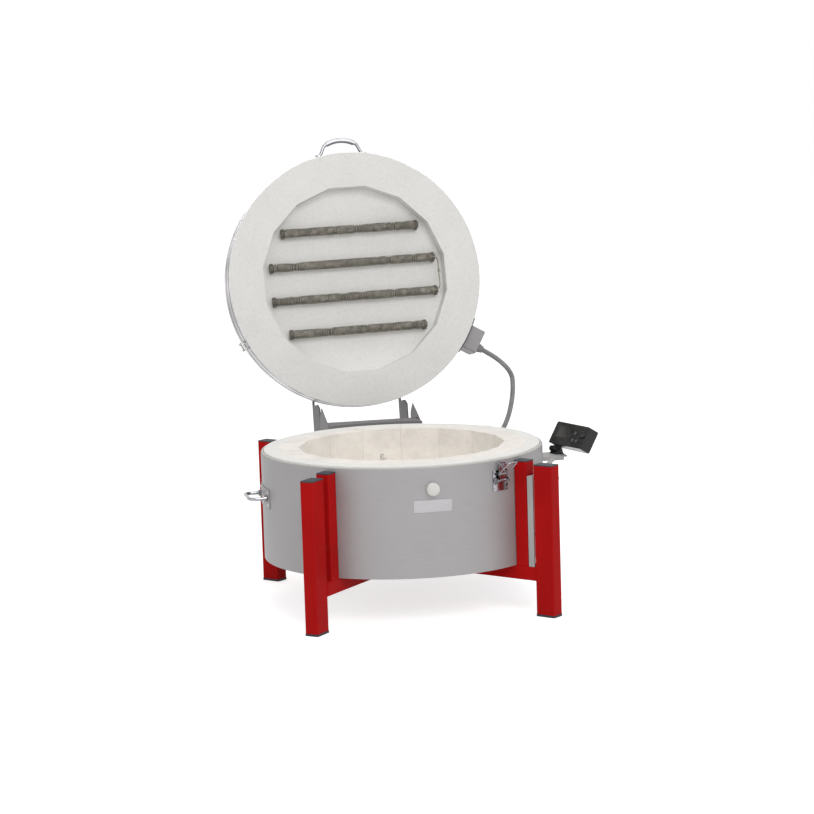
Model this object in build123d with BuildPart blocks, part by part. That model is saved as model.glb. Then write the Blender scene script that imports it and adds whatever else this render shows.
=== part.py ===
"""Top-loading glass fusing kiln: round steel drum on a red tube frame, hinged heated lid.

Lengths are millimetres and angles are degrees. While modelling, +Z is up and the
drum's axis is the Z axis, with the front of the kiln towards -Y. The lid is modelled
standing open, as it is at rest. At the end every piece is moved by the same amount,
so that the origin is the bottom centre of the whole kiln's box.
"""

from math import atan2, cos, degrees, pi, radians, sin, sqrt, tan
import os

from build123d import *

os.makedirs("parts", exist_ok=True)

# Drum
drum_radius = 410.0
drum_bottom = 140.0
shell_sheet = 1.2
shell_drop = 8.0  # steel edge below the rim plateau
base_sheet = 1.5
base_flange = 15.0
board_thickness = 20.0
sides = 16
wall_space = 51.0  # room for the blanket between the bricks and the shell
brick_depth = 64.0
brick_height = 230.0
floor_thickness = 64.0
hearth_gap = 1.0  # between the raised middle of the floor and the wall
hearth_rise = 2.0
brick_joint = 0.5
ring_depth = 26.0
seal_width = 7.0
seal_drop = 4.0
fit = 0.3  # clearance between pieces that sit close

# Frame
leg_angle = 41.0
leg_radial = 60.0
leg_width = 40.0
leg_height = 432.0
upright_size = 40.0
upright_top = 440.0
beam_height = 40.0
tube_wall = 2.0
tube_corner = 3.0
leg_gap = 25.0
foot_thickness = 6.0
cap_thickness = 3.0
plug_depth = 14.0
tie_bolt_radius = 4.0
tie_bolt_height = 232.0
tie_nut_flats = 13.0
tie_nut_height = 7.0

# Peephole, label and thermocouple
peep_height = 389.0
peep_radius = 17.0
plug_taper = 1.5
knob_radius = 18.5
knob_length = 16.0
label_height = 342.0
label_width = 108.0
label_tall = 34.0
label_sheet = 1.0
rivet_radius = 2.2
couple_height = 374.0
couple_radius = 6.0
couple_reach = 38.0  # tip inside the chamber

# Side handles
handle_height = 330.0
handle_span = 104.0
handle_reach = 46.0
handle_rod = 5.0
handle_plate_width = 146.0
handle_plate_tall = 56.0
handle_plate_sheet = 2.5

# Latch
latch_angle = 30.0
latch_pivot_height = 392.0
latch_stand = 10.0
latch_width = 24.0
latch_base_tall = 58.0
lever_length = 48.0
lever_sheet = 2.5
loop_pivot = 17.0
loop_rest = 50.0
latch_wire = 2.2
latch_pin = 3.0

# Lid
lid_inset = 10.0  # how far the lid stays inside the drum's edge
lid_thickness = 115.0
lid_gap = 0.5
lid_opening = 100.0
lid_turn = -1.5
lid_sheet = 1.2
recess_side = 110.0  # width of the flat face round the recess
recess_depth = 50.0
panel_thickness = 8.0
hinge_stand = 90.0  # from the drum to the hinge line
hinge_height = 405.0

# Heating elements
tube_pitch = 106.0
tube_end_gap = 25.0  # from the inner tubes' ends to the recess wall
outer_end_gap = 12.0  # from the outer saddles' corners to the recess wall
ceramic_radius = 10.0
wire_radius = 1.9
coil_radius = 12.4
outer_turns = 17
inner_turns = 20
coil_depth = 27.0
holder_thickness = 9.0
holder_width = 30.0
winding_margin = 18.0
points_per_half_turn = 8

# Lid fittings
band_width = 12.0
band_sheet = 1.0
band_levels = (32.0, 88.0)
clamp_angle = -118.0
clamp_gap = 16.0
clamp_lug = 14.0
clamp_bolt = 3.0
catch_width = 30.0
catch_low = 6.0
catch_tall = 24.0
catch_sheet = 3.0
catch_reach = 27.0
catch_lip = 8.0
grip_reach = 46.0
grip_radius = 8.0
grip_rod = 5.0
grip_half = 27.0  # half of the angle that the grip's sleeve covers
grip_bend = 16.0
bow_radius = 98.0
bow_half = 29.3  # half of the angle that the grip's arc turns through
leg_turn = 34.7  # turn from the arc into each leg
handle_boss = 11.0
handle_sink = 8.0  # how far the legs start inside the lid's band, before they are trimmed
handle_level = 60.0
box_angle = 119.5
box_width = 76.0
box_reach = 50.0
box_tall = 84.0
box_wall = 2.0
box_plate_width = 118.0

# Hinge console and lid arms
console_half = 146.0
console_sheet = 3.0
console_low = 300.0
console_top = 462.0
cheek_top = 500.0
cheek_behind = 45.0  # how far the cheeks reach behind the hinge line
plate_clear = 34.0  # from the hinge line to the console's top plate
arm_sheet = 4.0
arm_gap = 1.0
arm_width = 56.0
arm_flange = 24.0
arm_rib = 22.0
arm_forward = 190.0
gusset_low = 12.0  # lower edge of the arms beside the lid's back
gusset_clear = 14.0
pin_radius = 8.0
pin_fit = 0.3
pin_head = 4.0
stop_radius = 5.0
stop_along = 36.0

# Rear connection box
rear_angle = 149.5
rear_width = 100.0
rear_tall = 150.0
rear_deep = 66.0
rear_low = 190.0
rear_wall = 2.0
gland_radius = 14.0
gland_length = 22.0
conduit_radius = 8.0

# Controller on its shelf
shelf_angle = 88.0
shelf_width = 92.0
shelf_reach = 76.0
shelf_height = 398.0
shelf_drop = 34.0
shelf_sheet = 2.0
shelf_corner = 12.0
stem_width = 18.0
stem_sheet = 3.0
strap_width = 16.0
case_width = 170.0
case_tall = 70.0
case_deep = 34.0
case_wall = 2.5
case_lean = 31.0
case_facing = -72.0
case_stand = 95.0  # from the drum to the middle of the case
case_ahead = 50.0
case_rise = 52.0  # from the shelf to the middle of the case
cradle_along = -55.0
cradle_half = 18.0
cradle_sheet = 2.5
tilt_drop = 10.5
tilt_pin = 3.0
knob_size = 9.0
window_width = 74.0
window_tall = 34.0
key_radius = 5.0
key_travel = 1.2
rocker_width = 20.0
rocker_tall = 26.0
rocker_pin = 1.5
rocker_pin_reach = 1.5

# Levels and radii that follow
beam_top = drum_bottom
beam_bottom = beam_top - beam_height
board_top = drum_bottom + base_sheet + board_thickness
floor_top = board_top + floor_thickness
rim = floor_top + brick_height
outer_apothem = drum_radius - wall_space
inner_apothem = outer_apothem - brick_depth
lid_radius = drum_radius - lid_inset
hinge_back = drum_radius + hinge_stand
recess_apothem = lid_radius - recess_side
inner_tube_length = 2 * (recess_apothem - tube_end_gap)
outer_tube_half = sqrt(recess_apothem**2 - (1.5 * tube_pitch + holder_width / 2) ** 2)
outer_tube_length = 2 * (outer_tube_half - outer_end_gap)
shell_inside = drum_radius - shell_sheet
upright_inner = drum_radius + fit
upright_outer = upright_inner + upright_size
leg_inner = upright_outer + leg_gap


def outward(angle):
    """Unit vector that points out of the drum at an angle counted from the front."""
    return Vector(sin(radians(angle)), -cos(radians(angle)), 0)


def sideways(angle):
    """Unit vector along the drum wall, to the right of someone who faces it."""
    return Vector(cos(radians(angle)), sin(radians(angle)), 0)


def spoke(angle, height=0.0, radius=0.0):
    """Level plane whose X points outwards at the angle."""
    origin = outward(angle) * radius + Vector(0, 0, height)
    return Plane(origin, x_dir=outward(angle), z_dir=(0, 0, 1))


def facing(angle, height, radius):
    """Upright plane that faces outwards: X to the right, Y up."""
    origin = outward(angle) * radius + Vector(0, 0, height)
    return Plane(origin, x_dir=sideways(angle), z_dir=outward(angle))


def on_lid(plane):
    """The same plane, carried from a lid lying level at z = 0 to the open lid."""
    return Plane(lid_place * plane.location)


def vertex_radius(apothem):
    """Corner radius of the regular polygon with this distance to its flats."""
    return apothem / cos(radians(180 / sides))


def ring_sector(inner, outer, angle, half):
    """Sketch of a curved strip round the axis, centred on the angle."""
    with BuildSketch(Plane.XY, mode=Mode.PRIVATE) as strip:
        with BuildLine():
            low = CenterArc((0, 0), inner, angle - 90 - half, 2 * half)
            high = CenterArc((0, 0), outer, angle - 90 - half, 2 * half)
            Line(low @ 0, high @ 0)
            Line(low @ 1, high @ 1)
        make_face()
    return strip.sketch


def half_angle(width, radius):
    """Half of the angle that a strip of this width takes up at the radius."""
    return degrees(width / 2 / radius)


closed_level = rim + lid_gap
lid_place = (
    Location((0, hinge_back, hinge_height))
    * Location((0, 0, 0), (-lid_opening, 0, 0))
    * Location((0, -hinge_back, closed_level - hinge_height))
)
pin_level = hinge_height - closed_level  # the hinge's height seen from the lid's face

leg_angles = (-leg_angle, leg_angle, 180 - leg_angle, leg_angle - 180)
flat_turn = 180 / sides
pieces = []


def keep(builder, name):
    """Label a finished piece and put it on the list that is exported."""
    builder.part.label = name
    pieces.append(builder.part)


# Drum shell: rolled sheet with holes for the peephole and the thermocouple
with BuildPart() as drum_shell:
    with BuildSketch(Plane.XY.offset(drum_bottom + base_sheet)):
        Circle(drum_radius)
        Circle(shell_inside, mode=Mode.SUBTRACT)
    extrude(amount=rim - shell_drop - drum_bottom - base_sheet)
    with BuildSketch(facing(0, peep_height, drum_radius + 5)):
        Circle(peep_radius + 1.5)
    extrude(amount=-20, mode=Mode.SUBTRACT)
    with BuildSketch(facing(180, couple_height, drum_radius + 5)):
        Circle(couple_radius + 1)
    extrude(amount=-20, mode=Mode.SUBTRACT)
keep(drum_shell, "drum_shell")

# Drum base: pan with an upturned edge inside the shell
with BuildPart() as drum_base:
    with BuildSketch(Plane.XY.offset(drum_bottom)):
        Circle(drum_radius)
    extrude(amount=base_sheet)
    with BuildSketch(Plane.XY.offset(drum_bottom + base_sheet)):
        Circle(shell_inside - fit)
        Circle(shell_inside - fit - base_sheet, mode=Mode.SUBTRACT)
    extrude(amount=base_flange)
keep(drum_base, "drum_base")

with BuildPart() as base_board:
    with BuildSketch(Plane.XY.offset(drum_bottom + base_sheet)):
        Circle(shell_inside - 2 * fit - base_sheet)
    extrude(amount=board_thickness)
keep(base_board, "base_board")

with BuildPart() as chamber_floor:
    with BuildSketch(Plane.XY.offset(board_top)):
        RegularPolygon(vertex_radius(outer_apothem), sides, rotation=flat_turn)
    extrude(amount=floor_thickness)
    with BuildSketch(Plane.XY.offset(floor_top)):
        RegularPolygon(vertex_radius(inner_apothem - hearth_gap), sides, rotation=flat_turn)
    extrude(amount=hearth_rise)
keep(chamber_floor, "chamber_floor")

# Wall bricks: one wedge for each flat of the chamber
with BuildPart() as wall_bricks:
    wedge = 180 / sides
    inner_half = inner_apothem * tan(radians(wedge)) - brick_joint / 2
    outer_half = outer_apothem * tan(radians(wedge)) - brick_joint / 2
    with BuildSketch(mode=Mode.PRIVATE) as wedge_face:
        with BuildLine():
            Polyline(
                (inner_apothem, -inner_half),
                (outer_apothem, -outer_half),
                (outer_apothem, outer_half),
                (inner_apothem, inner_half),
                close=True,
            )
        make_face()
    with BuildSketch(Plane.XY.offset(floor_top)):
        with PolarLocations(0, sides, start_angle=-90):
            add(wedge_face.sketch)
    extrude(amount=brick_height)
    with BuildSketch(facing(0, peep_height, outer_apothem + 1)):
        Circle(peep_radius + 1)
    extrude(amount=-brick_depth - 2, mode=Mode.SUBTRACT)
    with BuildSketch(facing(180, couple_height, outer_apothem + 1)):
        Circle(couple_radius + 1)
    extrude(amount=-brick_depth - 2, mode=Mode.SUBTRACT)
keep(wall_bricks, "wall_bricks")

# Fibre blanket between the bricks and the shell
with BuildPart() as wall_blanket:
    with BuildSketch(Plane.XY.offset(board_top)):
        Circle(shell_inside - 2 * fit - base_sheet)
        RegularPolygon(
            vertex_radius(outer_apothem + fit), sides, rotation=flat_turn, mode=Mode.SUBTRACT
        )
    extrude(amount=rim - ring_depth - board_top)
    with BuildSketch(facing(0, peep_height, drum_radius)):
        Circle(peep_radius + 1.5)
    extrude(amount=-(drum_radius - inner_apothem), mode=Mode.SUBTRACT)
    with BuildSketch(facing(180, couple_height, drum_radius)):
        Circle(couple_radius + 1)
    extrude(amount=-(drum_radius - inner_apothem), mode=Mode.SUBTRACT)
keep(wall_blanket, "wall_blanket")

# Rim: hard refractory ring, and the softer seal ring outside it
ring_outer = shell_inside - seal_width - 2 * fit
with BuildPart() as rim_ring:
    with BuildSketch(Plane.XY.offset(rim - ring_depth)):
        Circle(ring_outer)
        RegularPolygon(
            vertex_radius(outer_apothem + fit), sides, rotation=flat_turn, mode=Mode.SUBTRACT
        )
    extrude(amount=ring_depth)
    top_edge = rim_ring.edges().filter_by(GeomType.CIRCLE).sort_by(Axis.Z)[-1]
    chamfer(top_edge, 1.5)
keep(rim_ring, "rim_ring")

with BuildPart() as rim_seal:
    with BuildSketch(Plane.XY.offset(rim - ring_depth)):
        Circle(shell_inside - fit)
        Circle(ring_outer + fit, mode=Mode.SUBTRACT)
    extrude(amount=ring_depth - seal_drop)
    top_edges = rim_seal.edges().filter_by(GeomType.CIRCLE).group_by(Axis.Z)[-1]
    fillet(top_edges, 2)
keep(rim_seal, "rim_seal")

# Peephole plug: tapered ceramic stopper with a round knob
with BuildPart() as peephole_plug:
    plug_inner = inner_apothem + 6
    with BuildSketch(facing(0, peep_height, plug_inner)):
        Circle(peep_radius - plug_taper)
    with BuildSketch(facing(0, peep_height, drum_radius + fit)):
        Circle(peep_radius)
    loft()
    with BuildSketch(facing(0, peep_height, drum_radius + fit)):
        Circle(knob_radius)
    extrude(amount=knob_length)
    knob_edge = peephole_plug.edges().filter_by(GeomType.CIRCLE).sort_by(Axis.Y)[0]
    fillet(knob_edge, 5)
keep(peephole_plug, "peephole_plug")

# Bare label plate, bent to the drum, on two rivets
with BuildPart() as label_plate:
    with BuildSketch(Plane.XY.offset(label_height - label_tall / 2)):
        add(ring_sector(drum_radius + fit, drum_radius + fit + label_sheet, 0,
                        half_angle(label_width, drum_radius)))
    extrude(amount=label_tall)
keep(label_plate, "label_plate")

with BuildPart() as label_rivets:
    rivet_seat = drum_radius + fit + label_sheet + 0.1
    rivet_turn = half_angle(label_width, drum_radius) - 1.2
    for angle in (-rivet_turn, rivet_turn):
        with BuildSketch(facing(angle, label_height, rivet_seat)):
            Circle(rivet_radius)
        extrude(amount=1.2, taper=25)
keep(label_rivets, "label_rivets")

# Thermocouple: ceramic sheath through the back wall, and its head outside
with BuildPart() as thermocouple:
    with BuildSketch(facing(180, couple_height, inner_apothem - couple_reach)):
        Circle(couple_radius)
    extrude(amount=drum_radius + 6 - inner_apothem + couple_reach)
    tip = thermocouple.edges().filter_by(GeomType.CIRCLE).sort_by(Axis.Y)[0]
    fillet(tip, couple_radius - 1)
keep(thermocouple, "thermocouple")

couple_seat = drum_radius + 6
with BuildPart() as thermocouple_head:
    with BuildSketch(facing(180, couple_height, couple_seat)):
        RectangleRounded(50, 40, 6)
    extrude(amount=24)
    fillet(thermocouple_head.faces().sort_by(Axis.Y)[-1].edges(), 3)
keep(thermocouple_head, "thermocouple_head")


def tube_profile(length, width, wall=tube_wall, corner=tube_corner):
    """Hollow rectangular tube section, drawn in the sketch that is open."""
    RectangleRounded(length, width, corner)
    inside = (length - 2 * wall, width - 2 * wall)
    RectangleRounded(*inside, max(corner - wall, 0.8), mode=Mode.SUBTRACT)


# Outer legs: one rectangular tube at each corner of the frame
with BuildPart() as outer_legs:
    for angle in leg_angles:
        with BuildSketch(spoke(angle, foot_thickness, leg_inner + leg_radial / 2)):
            tube_profile(leg_radial, leg_width)
        extrude(amount=leg_height - cap_thickness - foot_thickness)
        with BuildSketch(facing(angle, tie_bolt_height, leg_inner - 1)):
            Circle(tie_bolt_radius + fit)
        extrude(amount=tube_wall + 2, mode=Mode.SUBTRACT)
keep(outer_legs, "outer_legs")

# Uprights: the tubes that clasp the drum, standing on the beams
with BuildPart() as leg_uprights:
    for angle in leg_angles:
        with BuildSketch(spoke(angle, beam_top, upright_inner + upright_size / 2)):
            tube_profile(upright_size, upright_size)
        extrude(amount=upright_top - cap_thickness - beam_top)
        with BuildSketch(facing(angle, tie_bolt_height, upright_outer + 1)):
            Circle(tie_bolt_radius + fit)
        extrude(amount=-tube_wall - 2, mode=Mode.SUBTRACT)
keep(leg_uprights, "leg_uprights")

# Beams: one runs through, two butt against it under the drum
with BuildPart() as floor_beams:
    with BuildSketch(facing(leg_angle, beam_bottom + beam_height / 2, leg_inner)):
        tube_profile(leg_width, beam_height)
    extrude(amount=-2 * leg_inner)
    with BuildSketch(facing(-leg_angle, beam_bottom + beam_height / 2, leg_inner)):
        Rectangle(leg_width + 2 * fit, beam_height + 2)
    extrude(amount=-2 * leg_inner, mode=Mode.SUBTRACT)
    with BuildSketch(facing(-leg_angle, beam_bottom + beam_height / 2, leg_inner)):
        tube_profile(leg_width, beam_height)
    extrude(amount=-2 * leg_inner)
keep(floor_beams, "floor_beams")

# Plastic caps in the open tops of the tubes, and feet in the leg bottoms
with BuildPart() as tube_caps:
    for angle in leg_angles:
        for radius, top, length, width in (
            (leg_inner + leg_radial / 2, leg_height, leg_radial, leg_width),
            (upright_inner + upright_size / 2, upright_top, upright_size, upright_size),
        ):
            with BuildSketch(spoke(angle, top - cap_thickness, radius)):
                RectangleRounded(length, width, tube_corner)
            extrude(amount=cap_thickness)
            with BuildSketch(spoke(angle, top - cap_thickness, radius)):
                inset = 2 * (tube_wall + fit)
                RectangleRounded(length - inset, width - inset, 1.5)
            extrude(amount=-plug_depth)
keep(tube_caps, "tube_caps")

with BuildPart() as leg_feet:
    for angle in leg_angles:
        with BuildSketch(spoke(angle, 0, leg_inner + leg_radial / 2)):
            RectangleRounded(leg_radial + 2, leg_width + 2, tube_corner + 1)
        extrude(amount=foot_thickness)
        with BuildSketch(spoke(angle, foot_thickness, leg_inner + leg_radial / 2)):
            inset = 2 * (tube_wall + fit)
            RectangleRounded(leg_radial - inset, leg_width - inset, 1.5)
        extrude(amount=plug_depth)
keep(leg_feet, "leg_feet")

# Tie bolts between each upright and its leg, with a nut against either tube
with BuildPart() as tie_bolts:
    for angle in leg_angles:
        reach = tube_wall + 4
        with BuildSketch(facing(angle, tie_bolt_height, upright_outer - reach)):
            Circle(tie_bolt_radius)
        extrude(amount=leg_gap + 2 * reach)
        for seat in (upright_outer, leg_inner - tie_nut_height):
            with BuildSketch(facing(angle, tie_bolt_height, seat)):
                RegularPolygon(tie_nut_flats / sqrt(3), 6)
            extrude(amount=tie_nut_height)
keep(tie_bolts, "tie_bolts")

# Carrying handles: bent rods on plates, left and right
with BuildPart() as handle_plates:
    for angle in (-90, 90):
        with BuildSketch(Plane.XY.offset(handle_height - handle_plate_tall / 2)):
            add(ring_sector(drum_radius + fit, drum_radius + fit + handle_plate_sheet, angle,
                            half_angle(handle_plate_width, drum_radius)))
        extrude(amount=handle_plate_tall)
keep(handle_plates, "handle_plates")

with BuildPart() as side_handles:
    handle_seat = drum_radius + fit + handle_plate_sheet + 0.2
    drop = handle_span**2 / 8 / drum_radius
    for angle in (-90, 90):
        level = spoke(angle, handle_height, 0)
        with BuildLine(level):
            out = handle_seat + handle_reach
            half = handle_span / 2
            FilletPolyline(
                (handle_seat - drop + handle_rod, -half),
                (out, -half),
                (out, half),
                (handle_seat - drop + handle_rod, half),
                radius=18,
            )
        with BuildSketch(Plane(
            outward(angle) * (handle_seat - drop + handle_rod) - sideways(angle) * half
            + Vector(0, 0, handle_height),
            x_dir=sideways(angle), z_dir=outward(angle),
        )):
            Circle(handle_rod)
        sweep()
        for side in (-half, half):
            boss = outward(angle) * (handle_seat - drop + 1) + sideways(angle) * side
            with BuildSketch(Plane(boss + Vector(0, 0, handle_height),
                                   x_dir=sideways(angle), z_dir=outward(angle))):
                Circle(handle_rod + 4)
            extrude(amount=8)
    with BuildSketch(Plane.XY.offset(handle_height - handle_plate_tall)):
        Circle(handle_seat)
    extrude(amount=2 * handle_plate_tall, mode=Mode.SUBTRACT)
keep(side_handles, "side_handles")

# Latch: base with two ears, lever on a pin, and a wire loop on the lever
latch_radius = drum_radius + fit + latch_stand
ear_inside = latch_width / 2 + latch_wire * 2 + 3.2
with BuildPart() as latch_base:
    with BuildSketch(Plane.XY.offset(latch_pivot_height - latch_base_tall / 2)):
        add(ring_sector(drum_radius + fit, drum_radius + fit + lever_sheet, latch_angle,
                        half_angle(2 * ear_inside + 16, drum_radius)))
    extrude(amount=latch_base_tall)
    for side in (-ear_inside - lever_sheet, ear_inside):
        foot = outward(latch_angle) * drum_radius + sideways(latch_angle) * side
        ear = Plane(foot + Vector(0, 0, latch_pivot_height),
                    x_dir=outward(latch_angle), z_dir=sideways(latch_angle))
        with BuildSketch(ear):
            with BuildLine():
                Polyline((1.5, -12), (latch_stand, -7), (latch_stand, 7), (1.5, 12), close=True)
            make_face()
            with Locations((latch_stand, 0)):
                Circle(7)
                Circle(latch_pin + fit, mode=Mode.SUBTRACT)
        extrude(amount=lever_sheet)
keep(latch_base, "latch_base")


def latch_axis(height, start):
    """Plane across the latch: its Z runs along the pins, X outwards, Y down."""
    point = outward(latch_angle) * latch_radius + sideways(latch_angle) * start
    return Plane(point + Vector(0, 0, height), x_dir=outward(latch_angle),
                 z_dir=sideways(latch_angle))


loop_height = latch_pivot_height + loop_pivot
with BuildPart() as latch_lever:
    with BuildSketch(facing(latch_angle, latch_pivot_height, latch_radius - lever_sheet / 2)):
        with Locations((0, lever_length / 2)):
            RectangleRounded(latch_width, lever_length + 6, 4)
    extrude(amount=lever_sheet)
    tip = facing(latch_angle, latch_pivot_height + lever_length - 4, latch_radius)
    with BuildSketch(tip):
        RectangleRounded(latch_width, 6, 2.5)
    extrude(amount=8)
    for height in (latch_pivot_height, loop_height):
        with BuildSketch(latch_axis(height, -latch_width / 2)):
            Circle(latch_pin + 1.5)
        extrude(amount=latch_width)
    with BuildSketch(latch_axis(latch_pivot_height, -ear_inside - lever_sheet - 1)):
        Circle(latch_pin)
    extrude(amount=2 * (ear_inside + lever_sheet + 1))
    with BuildSketch(latch_axis(loop_height, -latch_width / 2)):
        Circle(latch_wire + fit)
    extrude(amount=latch_width, mode=Mode.SUBTRACT)
keep(latch_lever, "latch_lever")

hooked = closed_level + catch_low + catch_sheet + latch_wire + fit
loop_length = hooked - loop_height
with BuildPart() as latch_loop:
    leg_side = latch_width / 2 + latch_wire + 2.3
    pivot = outward(latch_angle) * latch_radius + Vector(0, 0, loop_height)
    lean = outward(latch_angle) * sin(radians(loop_rest)) + Vector(0, 0, cos(radians(loop_rest)))
    loop_plane = Plane(pivot, x_dir=sideways(latch_angle),
                       z_dir=sideways(latch_angle).cross(lean))
    with BuildLine(loop_plane):
        FilletPolyline(
            (0.5, 0), (leg_side, 0), (leg_side, loop_length), (-leg_side, loop_length),
            (-leg_side, 0), (-0.5, 0), radius=4.5,
        )
    with BuildSketch(Plane(pivot + sideways(latch_angle) * 0.5, x_dir=outward(latch_angle),
                           z_dir=sideways(latch_angle))):
        Circle(latch_wire)
    sweep()
keep(latch_loop, "latch_loop")

# Hinge console: a saddle bent to the drum, with two cheeks, on the back
console_inside = console_half - console_sheet
plate_back = hinge_back - plate_clear
cheek_front = sqrt((drum_radius + 1.5) ** 2 - console_inside**2)
saddle_half = degrees(atan2(console_half, cheek_front))
stop_point = lid_place * Location((0, hinge_back + arm_width / 2 + stop_radius + fit,
                                   pin_level + stop_along))
stop_back = stop_point.position.Y
stop_height = stop_point.position.Z
with BuildPart() as hinge_console:
    with BuildSketch(Plane.XY.offset(console_low)):
        add(ring_sector(drum_radius + fit, drum_radius + fit + console_sheet, 180, saddle_half))
    extrude(amount=console_top - console_low)
    with BuildSketch(Plane.XY.offset(console_top - console_sheet)):
        with Locations((0, (cheek_front + plate_back) / 2)):
            Rectangle(2 * console_inside + console_sheet, plate_back - cheek_front)
        Circle(drum_radius + fit, mode=Mode.SUBTRACT)
    extrude(amount=console_sheet)
    for side in (-console_half, console_inside):
        with BuildSketch(Plane((side, 0, 0), x_dir=(0, 1, 0), z_dir=(1, 0, 0))):
            with BuildLine():
                Polyline(
                    (cheek_front, console_low),
                    (cheek_front, console_top - 8),
                    (hinge_back + 15, cheek_top),
                    (hinge_back + cheek_behind, cheek_top - 32),
                    (hinge_back + cheek_behind, hinge_height - 62),
                    (hinge_back - 40, console_low),
                    close=True,
                )
            make_face()
            with Locations((hinge_back, hinge_height)):
                Circle(pin_radius + pin_fit, mode=Mode.SUBTRACT)
        extrude(amount=console_sheet)
    with BuildSketch(Plane((-console_inside, stop_back, stop_height), x_dir=(0, 1, 0),
                           z_dir=(1, 0, 0))):
        Circle(stop_radius)
    extrude(amount=2 * console_inside)
    with BuildSketch(facing(180, couple_height, drum_radius - 5)):
        Circle(couple_radius + 3)
    extrude(amount=20, mode=Mode.SUBTRACT)
keep(hinge_console, "hinge_console")

with BuildPart() as hinge_pin:
    span = console_half + fit
    with BuildSketch(Plane((-span, hinge_back, hinge_height), x_dir=(0, 1, 0), z_dir=(1, 0, 0))):
        Circle(pin_radius)
    extrude(amount=2 * span)
    for side in (-span - pin_head, span):
        with BuildSketch(Plane((side, hinge_back, hinge_height), x_dir=(0, 1, 0),
                               z_dir=(1, 0, 0))):
            Circle(pin_radius + 5)
        extrude(amount=pin_head)
keep(hinge_pin, "hinge_pin")

# Lid arms: flanged plates bolted to the lid's top, hung on the pin inside the cheeks
arm_outside = console_inside - arm_gap
with BuildPart() as lid_arms:
    top = lid_thickness
    flange_back = sqrt(lid_radius**2 - arm_outside**2)
    gusset_front = flange_back + gusset_clear
    for side in (-1, 1):
        start = arm_outside - arm_sheet if side > 0 else -arm_outside
        with BuildSketch(on_lid(Plane((start, 0, 0), x_dir=(0, 1, 0), z_dir=(1, 0, 0)))):
            with BuildLine():
                Polyline(
                    (hinge_back - arm_width / 2, pin_level),
                    (hinge_back - arm_width / 2, gusset_low),
                    (gusset_front + 14, gusset_low),
                    (gusset_front + 6, gusset_low + 18),
                    (gusset_front, gusset_low + 34),
                    (gusset_front, top),
                    (arm_forward, top),
                    (arm_forward, top + arm_rib - 6),
                    (arm_forward + 6, top + arm_rib),
                    (hinge_back + arm_width / 2 - 12, top + arm_rib),
                    (hinge_back + arm_width / 2, top + arm_rib - 12),
                    (hinge_back + arm_width / 2, pin_level),
                    close=True,
                )
            make_face()
            with Locations((hinge_back, pin_level)):
                Circle(arm_width / 2)
                Circle(pin_radius + pin_fit, mode=Mode.SUBTRACT)
        extrude(amount=arm_sheet)
        middle = (arm_outside - arm_flange / 2) * side
        with BuildSketch(on_lid(Plane((middle, (arm_forward + flange_back) / 2, top)))):
            Rectangle(arm_flange, flange_back - arm_forward)
        extrude(amount=arm_sheet)
keep(lid_arms, "lid_arms")

# Lid body: steel band and top, fibre block with a polygonal recess, and its floor panel
turned = Plane((0, 0, 0), x_dir=sideways(lid_turn), z_dir=(0, 0, 1))
with BuildPart() as lid_pan:
    with BuildSketch(on_lid(Plane.XY)):
        Circle(lid_radius)
    extrude(amount=lid_thickness)
    with BuildSketch(on_lid(Plane.XY)):
        Circle(lid_radius - lid_sheet)
    extrude(amount=lid_thickness - lid_sheet, mode=Mode.SUBTRACT)
keep(lid_pan, "lid_pan")

with BuildPart() as lid_block:
    with BuildSketch(on_lid(Plane.XY)):
        Circle(lid_radius - lid_sheet - fit)
    extrude(amount=lid_thickness - lid_sheet)
    with BuildSketch(on_lid(turned)):
        RegularPolygon(vertex_radius(recess_apothem), sides, rotation=flat_turn)
    extrude(amount=recess_depth + panel_thickness, mode=Mode.SUBTRACT)
keep(lid_block, "lid_block")

with BuildPart() as recess_panel:
    with BuildSketch(on_lid(turned.offset(recess_depth))):
        RegularPolygon(vertex_radius(recess_apothem - fit), sides, rotation=flat_turn)
    extrude(amount=panel_thickness)
keep(recess_panel, "recess_panel")

# Heating elements: wound ceramic tubes on saddles
tubes = (
    (-1.5 * tube_pitch, outer_tube_length),
    (-0.5 * tube_pitch, inner_tube_length),
    (0.5 * tube_pitch, inner_tube_length),
    (1.5 * tube_pitch, outer_tube_length),
)


def in_recess(x, y, z):
    """Plane at a point of the turned recess whose Z runs along the heating tubes."""
    level = turned.from_local_coords(Vector(x, y, z))
    return on_lid(Plane(level, x_dir=turned.y_dir, z_dir=turned.x_dir))


with BuildPart() as heater_tubes:
    for row, length in tubes:
        with BuildSketch(in_recess(-length / 2, row, coil_depth)):
            Circle(ceramic_radius)
            Circle(ceramic_radius - 4, mode=Mode.SUBTRACT)
        extrude(amount=length)
keep(heater_tubes, "heater_tubes")

with BuildPart() as tube_saddles:
    for row, length in tubes:
        for start in (-length / 2 + 2, length / 2 - 2 - holder_thickness):
            with BuildSketch(in_recess(start, row, coil_depth)):
                deep = recess_depth - coil_depth
                with Locations((0, deep / 2)):
                    Rectangle(holder_width, deep)
                Circle(ceramic_radius + fit, mode=Mode.SUBTRACT)
            extrude(amount=holder_thickness)
keep(tube_saddles, "tube_saddles")


def half_turn(start, end, start_way, end_way):
    """Two tangent arcs that join two points of a winding, half a turn apart."""
    chord, ways = end - start, start_way + end_way
    a, b, c = 4 - ways.dot(ways), 2 * chord.dot(ways), -chord.dot(chord)
    reach = (-b + sqrt(b * b - 4 * a * c)) / (2 * a)
    middle = (start + start_way * reach + end - end_way * reach) * 0.5
    first = TangentArc(start, middle, tangent=start_way)
    TangentArc(middle, end, tangent=first % 1)


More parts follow.
